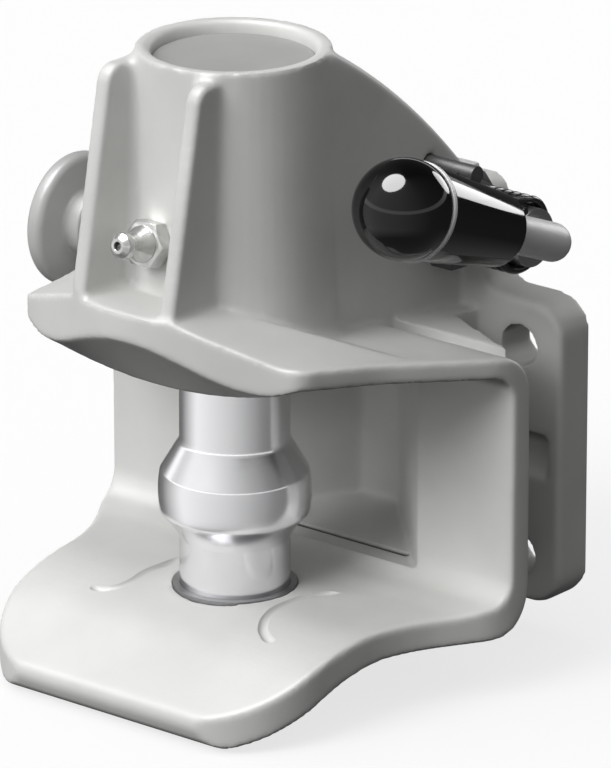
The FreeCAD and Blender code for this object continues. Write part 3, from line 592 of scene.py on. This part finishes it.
# %% [markdown]
# The small cells have done their work now. A Decimate modifier takes them off where the surface is
# flat and keeps them where it bends, which leaves a mesh that is light enough to pass on.

# %% Thinner mesh for the casting
KEEP = 0.40
thinning_or_painted_shade = casting.modifiers.new("thinning_or_painted_shade", "DECIMATE")
thinning_or_painted_shade.ratio = KEEP
apply_all(casting)
dress(casting, "body", "cast_body", "coupling_body")

# %% [markdown]
# The coupling pin is turned and ground in one clamping. Its tip is chamfered to find the lower bush,
# a cove leads from the shaft to the cambered belly that fills the drawbar eye, and its head slides in
# the tower. A slot milled in the back of the head takes the lifting finger.

# %% Coupling pin
UP = Vector((0, 0, 1))
PIN_AXIS = spot(0, 0, 0)
PIN_STEPS = 128
PIN_SHAFT = 14.0
PIN_BELLY = 19.0
BELLY_CAMBER = 0.8
PIN_HEAD = 20.35
PIN_TIP = -11.0
TIP_CHAMFER = 2.5
COVE_START = 12.3
BELLY_LOW = 19.5
BELLY_HIGH = 30.0
TAPER_END = 38.5
HEAD_LOW = 62.0
HEAD_HIGH = 86.0
SLOT_HALF_WIDTH = 7.5
SLOT_SIDE = [(-7.3, 68.5), (4.5, 68.5), (23.0, 58.0), (23.0, 85.8), (2.5, 80.6), (-7.3, 80.6)]


def pin_outline():
    """Tip and shaft, the cove, the belly's small lip, the cambered belly, then taper, shaft and head."""
    low = rounded([
        (PIN_TIP, 0, 0),
        (PIN_TIP, PIN_SHAFT - TIP_CHAMFER, 0.5),
        (PIN_TIP + TIP_CHAMFER, PIN_SHAFT, 0.8),
        (COVE_START, PIN_SHAFT, 0),
    ])
    cove = bow(
        (COVE_START, PIN_SHAFT),
        (COVE_START + 2.9, PIN_SHAFT + 1.0),
        (BELLY_LOW - 0.9, PIN_BELLY - 0.8),
    )
    lip = [
        (BELLY_LOW - 0.45, PIN_BELLY - 0.4),
        (BELLY_LOW - 0.1, PIN_BELLY - 0.12),
        (BELLY_LOW + 0.2, PIN_BELLY),
    ]
    belly_end = BELLY_HIGH - 0.5
    belly = bow(lip[-1], (0.5 * (BELLY_LOW + BELLY_HIGH), PIN_BELLY + BELLY_CAMBER), (belly_end, PIN_BELLY))
    high = rounded([
        (belly_end, PIN_BELLY, 0),
        (BELLY_HIGH + 0.1, PIN_BELLY - 0.1, 2.0),
        (TAPER_END, PIN_SHAFT, 3.5),
        (HEAD_LOW, PIN_SHAFT, 0.8),
        (HEAD_LOW, PIN_HEAD, 1.0),
        (HEAD_HIGH, PIN_HEAD, 1.0),
        (HEAD_HIGH, 0, 0),
    ])
    return [*low, *cove, *lip, *belly, *high]


def slot_tool():
    """Prism that mills the finger's slot, open to the back of the head."""
    count = len(SLOT_SIDE)
    marks = [spot(side * SLOT_HALF_WIDTH, back, height) for side in (-1, 1) for back, height in SLOT_SIDE]
    walls = [(i, (i + 1) % count, (i + 1) % count + count, i + count) for i in range(count)]
    piece = new_piece("slot", marks, [], [tuple(range(count)), tuple(range(count, 2 * count)), *walls])
    weld(piece)
    return piece


pin = lathe("turned_pin", pin_outline(), PIN_AXIS, UP, PIN_STEPS)
combine(pin, slot_tool(), "DIFFERENCE")
dress(pin, "pin", "pin_steel", "coupling_pin")

# %% [markdown]
# The cap in the top of the tower is pressed from sheet. Its edge turns down into a short skirt, and
# the bend is round because the sheet is drawn over a rounded die. The press leaves the middle very
# slightly dished, so the whole disc takes one even tone.

# %% Top cover
COVER_TOP = 138.0
COVER_RADIUS = 20.57
COVER_SKIRT = 3.0
COVER_SHEET = 1.5
COVER_HOLLOW = 0.3


def cover_outline():
    inner = COVER_RADIUS - COVER_SHEET
    return rounded([
        (COVER_TOP - COVER_HOLLOW, 0, 0),
        (COVER_TOP - COVER_HOLLOW, 0.5 * COVER_RADIUS, 30.0),
        (COVER_TOP, COVER_RADIUS, 1.1),
        (COVER_TOP - COVER_SKIRT, COVER_RADIUS, 0.2),
        (COVER_TOP - COVER_SKIRT, inner, 0.2),
        (COVER_TOP - COVER_SHEET, inner, 0.5),
        (COVER_TOP - COVER_SHEET, 0, 0),
    ])


cover = lathe("pressed_cover", cover_outline(), PIN_AXIS, UP)
dress(cover, "body", "cover_grey", "top_cover")

# %% [markdown]
# The hand lever is a round rod with a rounded end. It stands at the angle that it has when the
# coupling is shut, and places along it are counted from the axis of the shaft.

# %% Hand lever
SHAFT_BACK = 55.5
SHAFT_HEIGHT = 87.5
LEVER_PLANE = 54.5
LEVER_ANGLE = math.radians(21.8)
LEVER_ROOT = spot(LEVER_PLANE, SHAFT_BACK, SHAFT_HEIGHT)
LEVER_WAY = Vector((0, -math.cos(LEVER_ANGLE), math.sin(LEVER_ANGLE)))
ROD_RADIUS = 5.0
ROD_TAIL = -3.0
ROD_TIP = 52.0
ROD_END_STEPS = 10


def rod_outline():
    """Half round end, then the straight rod, whose tip is hidden in the grip."""
    points = []
    for step in range(ROD_END_STEPS + 1):
        turn = 0.5 * math.pi * step / ROD_END_STEPS
        points.append((ROD_TAIL - ROD_RADIUS * math.cos(turn), ROD_RADIUS * math.sin(turn)))
    points += rounded([(ROD_TAIL + 1, ROD_RADIUS, 0), (ROD_TIP, ROD_RADIUS, 0.5), (ROD_TIP, 0, 0)])
    return points


rod = lathe("lever_rod", rod_outline(), LEVER_ROOT, LEVER_WAY)
dress(rod, "lever", "lever_grey", "hand_lever")

# %% [markdown]
# The grip is moulded plastic: a slender cone that swells into a ball. A fine groove between the two
# holds a bright ring, which is turned by itself because it has another finish.

# %% Ball grip and its ring
GRIP_STEPS = 128
GRIP_START = 20.4
GRIP_THIN = 9.3
GRIP_THICK = 12.2
BALL_RADIUS = 12.75
BALL_REACH = 60.5
BALL_START = 57.5
BALL_STEPS = 20
GROOVE = 0.55
RING_PROUD = 0.45
RING_START = BALL_START - 2.1
RING_END = BALL_START - 0.7
BORE_CLEARANCE = 0.03


def grip_outline():
    """Bore round the rod, the cone with its groove, and the ball."""
    bore = ROD_RADIUS + BORE_CLEARANCE
    points = rounded([
        (ROD_TIP, 0, 0),
        (ROD_TIP, bore, 0),
        (GRIP_START, bore, 0.3),
        (GRIP_START, GRIP_THIN, 1.6),
        (BALL_START - 2.6, GRIP_THICK, 0.5),
        (BALL_START - 2.0, GRIP_THICK - GROOVE, 0.2),
        (BALL_START - 1.2, GRIP_THICK - GROOVE, 0.2),
        (BALL_START - 0.4, GRIP_THICK + 0.1, 0.25),
        (BALL_START, GRIP_THICK + 0.2, 0),
    ])
    first = math.asin((BALL_REACH - BALL_START) / BALL_RADIUS)
    for step in range(BALL_STEPS + 1):
        turn = -first + (math.pi / 2 + first) * step / BALL_STEPS
        points.append((BALL_REACH + BALL_RADIUS * math.sin(turn), BALL_RADIUS * math.cos(turn)))
    return points


def ring_outline():
    """Bright ring that sits in the groove, a little proud of the grip."""
    low = GRIP_THICK - GROOVE
    high = GRIP_THICK + RING_PROUD
    return rounded([
        (RING_START, low, 0),
        (RING_START, high, 0.4),
        (RING_END, high, 0.4),
        (RING_END, low, 0),
        (RING_START, low, 0),
    ])


grip = lathe("ball_grip", grip_outline(), LEVER_ROOT, LEVER_WAY, GRIP_STEPS)
dress(grip, "lever", "grip_black", "lever_grip")
ring = lathe("grip_ring", ring_outline(), LEVER_ROOT, LEVER_WAY, GRIP_STEPS)
dress(ring, "lever", "lever_grey")

# %% [markdown]
# The closing spring is a torsion spring: round wire wound about the shaft, with a straight leg at
# each end. One leg bears on a peg in the housing, the other lies over the lever's rod and turns it
# shut.

# %% Closing spring
SPRING_RADIUS = 9.2
SPRING_WIRE = 1.0
SPRING_START = 33.4
SPRING_END = 48.0
SPRING_TURNS = 6
SPRING_STEPS = 30
PEG_LEG_TURN = math.radians(183.0)
LEVER_LEG_TURN = math.radians(68.2)
PEG_LEG = 16.4
LEVER_LEG = 17.0
LEG_HEIGHT = 6.1
HOOK_BEND = 2.5
HOOK_END = 11
SPRING_HEAD = spot(SPRING_END, SHAFT_BACK, SHAFT_HEIGHT)


def round_shaft(x, turn, radius):
    """Point round the shaft's axis at a turn counted from the back, in the scene."""
    return spot(x, SHAFT_BACK + radius * math.cos(turn), SHAFT_HEIGHT + radius * math.sin(turn))


def spring_route():
    """Centre line of the wire: fixed leg, turns, and the leg that hooks over the lever."""
    sweep = 2 * math.pi * SPRING_TURNS - PEG_LEG_TURN + LEVER_LEG_TURN
    count = round(SPRING_STEPS * sweep / (2 * math.pi))
    first = round_shaft(SPRING_START, PEG_LEG_TURN, SPRING_RADIUS)
    inward = Vector((0, math.sin(PEG_LEG_TURN), -math.cos(PEG_LEG_TURN)))
    route = [first + inward * PEG_LEG * MM * share for share in (1.0, 0.5, 0.1)]
    for step in range(count + 1):
        share = step / count
        x = SPRING_START + (SPRING_END - SPRING_START) * share
        route.append(round_shaft(x, PEG_LEG_TURN + sweep * share, SPRING_RADIUS))
    above = Vector((0, math.sin(LEVER_ANGLE), math.cos(LEVER_ANGLE)))
    bend = SPRING_HEAD + LEVER_WAY * LEVER_LEG * MM + above * LEG_HEIGHT * MM
    outward = Vector((1, 0, 0)) * MM
    last = route[-1]
    route += [last.lerp(bend, share) for share in (0.1, 0.85)]
    route += [bend + outward * reach for reach in (1, HOOK_BEND, HOOK_END)]
    return route


wire = tube("torsion_spring", spring_route(), SPRING_WIRE)
coat(wire, "spring_black")
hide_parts("closing_spring")
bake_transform(wire)

# %% [markdown]
# Inside the boss on the left a small compression spring pushes the locking bolt home. Its outer end
# stands on the fixed sleeve and its inner end on the bolt, so it shortens when the knob is pulled.

# %% Lock spring
LOCK_BACK = 19.7
LOCK_HEIGHT = 76.5
LOCK_COIL_RADIUS = 5.6
LOCK_WIRE = 0.6
LOCK_TURNS = 5
LOCK_STEPS = 16
LOCK_OUTER, LOCK_INNER = [corner[0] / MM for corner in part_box("locking_spring")]


def lock_spring_route():
    """Centre line of the coil from the sleeve to the bolt."""
    outer = LOCK_OUTER + LOCK_WIRE
    inner = LOCK_INNER - LOCK_WIRE
    count = LOCK_TURNS * LOCK_STEPS
    route = []
    for step in range(count + 1):
        turn = 2 * math.pi * step / LOCK_STEPS
        back = LOCK_BACK + LOCK_COIL_RADIUS * math.cos(turn)
        height = LOCK_HEIGHT + LOCK_COIL_RADIUS * math.sin(turn)
        route.append(spot(outer + (inner - outer) * step / count, back, height))
    return route


lock_wire = tube("lock_coil", lock_spring_route(), LOCK_WIRE)
coat(lock_wire, "spring_black")
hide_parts("locking_spring")
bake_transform(lock_wire)

# %% [markdown]
# The collar round the shaft is a hexagon cut from bar. Turning its ends takes the six corners down in
# shallow arcs, which is what a Boolean intersection of a hexagonal prism with a chamfered disc gives.

# %% Hexagonal collar
COLLAR_START = 23.0
COLLAR_LENGTH = 8.0
COLLAR_FLATS = 23.0
COLLAR_BORE = 7.8
COLLAR_SEAT = 9.9
SEAT_DEPTH = 3.5
COLLAR_CHAMFER = 0.9


def collar_outline():
    """Chamfered disc a little wider than the hexagon's corners, with a bore and the seal's seat."""
    wide = 0.5 * COLLAR_FLATS / math.cos(math.pi / 6) + 0.1
    narrow = 0.5 * COLLAR_FLATS - 0.2
    seat = COLLAR_LENGTH - SEAT_DEPTH
    return [
        (0, COLLAR_BORE),
        (0, narrow),
        (COLLAR_CHAMFER, wide),
        (COLLAR_LENGTH - COLLAR_CHAMFER, wide),
        (COLLAR_LENGTH, narrow),
        (COLLAR_LENGTH, COLLAR_SEAT),
        (seat, COLLAR_SEAT),
        (seat, COLLAR_BORE),
        (0, COLLAR_BORE),
    ]


collar_root = spot(COLLAR_START, SHAFT_BACK, SHAFT_HEIGHT)
collar_way = Vector((1, 0, 0))
collar = lathe("hexagonal_collar", collar_outline(), collar_root, collar_way)
bar = hexagonal_bar("bar", COLLAR_FLATS, -1, COLLAR_LENGTH + 1, collar_root, collar_way)
combine(collar, bar, "INTERSECT")
dress(collar, "body", "black_steel", "bearing_nut")

# %% [markdown]
# The grease nipple on the tower's front is a stock part: a small hexagon for the spanner, a cone, and
# a round head that the coupler of a grease gun snaps over. Its mouth is a tiny hole with a ball in it.

# %% Grease nipple
NIPPLE_SIDE = -4.0
NIPPLE_HEIGHT = 95.3
NIPPLE_TILT = math.radians(11)
TOWER_FOOT = 66.2
TOWER_TOP = 141.0
TOWER_FOOT_RADIUS = 26.5
TOWER_TOP_RADIUS = 24.4
NIPPLE_FLATS = 11.0
HEXAGON_LOW = 0.6
HEXAGON_HIGH = 5.2
HEXAGON_CHAMFER = 0.5
NIPPLE_BORE = 1.1
NIPPLE_FOOT = -2.2
FOOT_RADIUS = 4.0
SHOULDER_LOW = 1.0
SHOULDER_HIGH = 5.6
SHOULDER_RADIUS = 4.6
NIPPLE_HEAD_RADIUS = 3.3
NIPPLE_MOUTH = 14.6


def nipple_root():
    """Point on the tower's front where the nipple's axis meets it."""
    share = (NIPPLE_HEIGHT - TOWER_FOOT) / (TOWER_TOP - TOWER_FOOT)
    radius = TOWER_FOOT_RADIUS + (TOWER_TOP_RADIUS - TOWER_FOOT_RADIUS) * share
    return spot(NIPPLE_SIDE, -math.sqrt(radius ** 2 - NIPPLE_SIDE ** 2), NIPPLE_HEIGHT)


def nipple_outline():
    """Foot, shoulder, cone, neck and head, closed by the bore."""
    return rounded([
        (NIPPLE_FOOT, NIPPLE_BORE, 0),
        (NIPPLE_FOOT, FOOT_RADIUS - 0.4, 0.2),
        (NIPPLE_FOOT + 0.4, FOOT_RADIUS, 0.2),
        (SHOULDER_LOW, FOOT_RADIUS, 0),
        (SHOULDER_LOW, SHOULDER_RADIUS, 0.1),
        (SHOULDER_HIGH, SHOULDER_RADIUS, 0.3),
        (8.2, 2.9, 0.3),
        (10.2, 2.3, 0.8),
        (11.5, NIPPLE_HEAD_RADIUS, 0.7),
        (13.4, NIPPLE_HEAD_RADIUS, 0.7),
        (NIPPLE_MOUTH, 1.9, 0.3),
        (NIPPLE_MOUTH, NIPPLE_BORE, 0.1),
        (NIPPLE_MOUTH - 0.7, NIPPLE_BORE, 0),
        (NIPPLE_FOOT, NIPPLE_BORE, 0),
    ])


def nipple_hexagon(root, way):
    """Hexagon for the spanner, with its corners turned down at both ends."""
    wide = 0.5 * NIPPLE_FLATS / math.cos(math.pi / 6) + 0.05
    narrow = 0.5 * NIPPLE_FLATS - 0.1
    inside = 3.0
    outline = [
        (HEXAGON_LOW, inside),
        (HEXAGON_LOW, narrow),
        (HEXAGON_LOW + HEXAGON_CHAMFER, wide),
        (HEXAGON_HIGH - HEXAGON_CHAMFER, wide),
        (HEXAGON_HIGH, narrow),
        (HEXAGON_HIGH, inside),
        (HEXAGON_LOW, inside),
    ]
    disc = lathe("nipple_disc", outline, root, way)
    combine(disc, hexagonal_bar("nipple_bar", NIPPLE_FLATS, -1, 7, root, way), "INTERSECT")
    return disc


nipple_way = Vector((0, -math.cos(NIPPLE_TILT), math.sin(NIPPLE_TILT)))
nipple = lathe("nipple_body", nipple_outline(), nipple_root(), nipple_way)
join(nipple, [nipple_hexagon(nipple_root(), nipple_way)])
dress(nipple, "body", "zinc", "grease_nipple")

# %% [markdown]
# The pull knob on the left frees the lock. It is turned from bar: a neck, a hub and a flat disc for
# the fingers, with a full round on its rim and a shallow dish in its face.

# %% Locking knob
KNOB_START = 55.0
KNOB_STEP = 61.5
KNOB_DISC = 66.6
KNOB_END = 71.6
STEM_RADIUS = 4.03
NECK_RADIUS = 6.5
HUB_RADIUS = 8.5
KNOB_RADIUS = 17.5
RIM_ROUND = 1.9
DISH_RADIUS = 13.5
DISH_DEPTH = 0.8


def knob_outline():
    """Bore for the bolt's stem, neck, hub, rim, and the dish in the face."""
    return rounded([
        (KNOB_DISC, 0, 0),
        (KNOB_DISC, STEM_RADIUS, 0),
        (KNOB_START, STEM_RADIUS, 0.3),
        (KNOB_START, NECK_RADIUS, 0.6),
        (KNOB_STEP, NECK_RADIUS, 0.4),
        (KNOB_STEP, HUB_RADIUS, 0.8),
        (KNOB_DISC, HUB_RADIUS, 0.8),
        (KNOB_DISC, KNOB_RADIUS, RIM_ROUND),
        (KNOB_END, KNOB_RADIUS, RIM_ROUND),
        (KNOB_END, DISH_RADIUS, 0.8),
        (KNOB_END - DISH_DEPTH, DISH_RADIUS - 0.9, 0.8),
        (KNOB_END - DISH_DEPTH, 0, 0),
    ])


knob = lathe("pull_knob", knob_outline(), spot(0, LOCK_BACK, LOCK_HEIGHT), Vector((-1, 0, 0)))
dress(knob, "lock", "knob_grey", "locking_knob")

# %% [markdown]
# Studio. The drawing has no cast shadows: the tone of a face comes from the way it faces. Tops are
# lightest, fronts a step darker, and what looks right or down is dark. A soft key light high at the
# front reaches the tops and the fronts only. A wide surround fills the rest: its light grows steadily
# upwards and to the left, and fades out below the horizon, so the undersides stay dark.

# %% Key light and diffuse surround
EVEN_LIGHT = 0.24
LIGHT_PULL = Vector((-0.22, -0.20, 0.50))
HORIZON = (-0.40, 0.20)
LEAST_LIGHT = 0.02
KEY_STRENGTH = 2.25
KEY_SPREAD = math.radians(36)
KEY_FROM = Vector((-0.17, -0.77, 0.62))
BACKGROUND_WHITE = 1.0


def add_sun(name, strength, spread, way):
    """Distant lamp that shines from a direction."""
    data = bpy.data.lights.new(name, "SUN")
    data.energy = strength
    data.angle = spread
    lamp = bpy.data.objects.new(name, data)
    lamp.rotation_euler = way.to_track_quat("Z", "Y").to_euler()
    bpy.context.scene.collection.objects.link(lamp)
    return lamp


def diffuse_level(tree, way):
    """Light that matt faces get from a direction: even light plus the pull, faded at the horizon."""
    pull = node(tree, "VectorMath", {"operation": "DOT_PRODUCT"}, {0: way, 1: LIGHT_PULL}).outputs["Value"]
    raised = node(tree, "Math", {"operation": "ADD"}, {0: pull, 1: EVEN_LIGHT}).outputs["Value"]
    height = node(tree, "SeparateXYZ", inputs={"Vector": way}).outputs["Z"]
    above = node(tree, "MapRange", inputs={"Value": height, 1: HORIZON[0], 2: HORIZON[1]}).outputs["Result"]
    faded = node(tree, "Math", {"operation": "MULTIPLY"}, {0: raised, 1: above}).outputs["Value"]
    return node(tree, "Math", {"operation": "MAXIMUM"}, {0: faded, 1: LEAST_LIGHT}).outputs["Value"]


key = add_sun("key", KEY_STRENGTH, KEY_SPREAD, KEY_FROM)
key.visible_glossy = False
print("key light:", key.data.energy, "over", round(math.degrees(key.data.angle)), "degrees")

# %% [markdown]
# Metal has no tone of its own and shows what stands round it. A photographer puts a curved wall round
# a polished part, bright on one side and fading to black on the other, so the pin is modelled from a
# white stripe on its left to a dark edge on its right. The wall is a ramp over the compass turn, in
# degrees from the camera to its right. A narrow level strip in the wall shows up as thin lines round
# the pin's shoulders. Black plastic mirrors only a few percent, so it stays black, and a strong round
# lamp high on the left draws its highlight. A second one, low and behind, draws the stripe along the
# grip. Wall and lamps act on gloss alone and give no light to the matt faces.

# %% Light wall and lamps for the gloss
WALL = [(-180, 0.06), (-135, 0.2), (-85, 1.0), (-10, 0.68), (60, 0.24), (130, 0.05), (180, 0.06)]
WALL_BELOW = 0.22
WALL_FOOT = (-0.75, -0.50)
STRIP_HEIGHT = 0.17
STRIP_HALF = 0.06
STRIP_STRENGTH = 0.9
ROUND_STRENGTH = 9.0
ROUND_SPREAD = math.radians(44)
ROUND_FROM = Vector((-0.19, -0.30, 0.94))
STRIPE_STRENGTH = 1.0
STRIPE_SPREAD = math.radians(26)
STRIPE_FROM = Vector((0.03, 0.95, 0.24))


def wall_level(tree, way):
    """Light that polished metal mirrors from a direction: the wall, its dark foot and its strip."""
    right = (math.cos(VIEW_TURN), math.sin(VIEW_TURN), 0)
    front = (math.sin(VIEW_TURN), -math.cos(VIEW_TURN), 0)
    across, toward = [
        node(tree, "VectorMath", {"operation": "DOT_PRODUCT"}, {0: way, 1: side}).outputs["Value"]
        for side in (right, front)
    ]
    compass = node(tree, "Math", {"operation": "ARCTAN2"}, {0: across, 1: toward}).outputs["Value"]
    share = {0: compass, 1: 0.5 / math.pi, 2: 0.5}
    turn = node(tree, "Math", {"operation": "MULTIPLY_ADD"}, share).outputs["Value"]
    stops = [(0.5 + degrees / 360, (level, level, level, 1)) for degrees, level in WALL]
    wall = node(tree, "ValToRGB", inputs={"Fac": turn}, stops=stops).outputs["Color"]
    height = node(tree, "SeparateXYZ", inputs={"Vector": way}).outputs["Z"]
    foot = node(tree, "MapRange", inputs={"Value": height, 1: WALL_FOOT[0], 2: WALL_FOOT[1]})
    plain = node(tree, "Mix", inputs={"Factor": foot.outputs["Result"], "A": WALL_BELOW, "B": wall})
    strip = node(tree, "Math", {"operation": "COMPARE"}, {0: height, 1: STRIP_HEIGHT, 2: STRIP_HALF})
    total = {0: strip.outputs["Value"], 1: STRIP_STRENGTH, 2: plain.outputs["Result"]}
    return node(tree, "Math", {"operation": "MULTIPLY_ADD"}, total).outputs["Value"]


for lamp in (
    add_sun("round_lamp", ROUND_STRENGTH, ROUND_SPREAD, ROUND_FROM),
    add_sun("stripe_lamp", STRIPE_STRENGTH, STRIPE_SPREAD, STRIPE_FROM),
):
    lamp.visible_diffuse = False


def add_surround():
    """World whose strength depends on what asks: the camera, a glossy ray or a diffuse one."""
    world = bpy.data.worlds.new("surround")
    world.use_nodes = True
    bpy.context.scene.world = world
    tree = world.node_tree
    back = tree.nodes["Background"]
    path = node(tree, "LightPath")
    way = node(tree, "TexCoord").outputs["Generated"]
    lit = node(tree, "Mix", inputs={
        "Factor": path.outputs["Is Glossy Ray"],
        "A": diffuse_level(tree, way),
        "B": wall_level(tree, way),
    })
    level = node(tree, "Mix", inputs={
        "Factor": path.outputs["Is Camera Ray"],
        "A": lit.outputs["Result"],
        "B": BACKGROUND_WHITE,
    })
    tree.links.new(level.outputs["Result"], back.inputs["Strength"])
    back.inputs["Color"].default_value = paint("#FFFFFF")


add_surround()
print("lamps:", [lamp.name for lamp in bpy.data.lights])

# %% [markdown]
# The floor is plain and pale. The camera sees it nearly as white as the background, so only the soft
# shadow under the object shows. It throws no light back up, so the undersides stay dark. From below
# it is see-through, so the underside can be looked at.

# %% Floor
FLOOR_LEVEL = -50.5 * MM
FLOOR_SIZE = 6
FLOOR_GLOW = 0.75


def add_floor():
    bpy.ops.mesh.primitive_plane_add(size=FLOOR_SIZE, location=(0, 0, FLOOR_LEVEL))
    floor = bpy.context.object
    floor.name = "floor"
    bpy.ops.object.transform_apply(location=True, rotation=True, scale=True)
    made, tree, shader = finish("pale_floor", Roughness=0.8)
    shader.inputs["Base Color"].default_value = paint("#F2F2F2")
    seen = node(tree, "LightPath").outputs["Is Camera Ray"]
    share = node(tree, "Math", {"operation": "MULTIPLY"}, {0: seen, 1: FLOOR_GLOW}).outputs["Value"]
    glow = node(tree, "Emission", inputs={"Color": paint("#FFFFFF"), "Strength": 1.0}).outputs["Emission"]
    above = node(tree, "MixShader", inputs={0: share, 1: shader.outputs["BSDF"], 2: glow})
    from_below = node(tree, "NewGeometry").outputs["Backfacing"]
    clear = node(tree, "BsdfTransparent").outputs["BSDF"]
    both = node(tree, "MixShader", inputs={0: from_below, 1: above.outputs["Shader"], 2: clear})
    tree.links.new(both.outputs["Shader"], tree.nodes["Material Output"].inputs["Surface"])
    floor.data.materials.append(made)
    floor.visible_diffuse = False
    floor.visible_glossy = False
    return floor


floor = add_floor()
print("floor at", round(floor.data.vertices[0].co.z / MM, 1), "mm")
bpy.context.scene.view_settings.view_transform = "Standard"
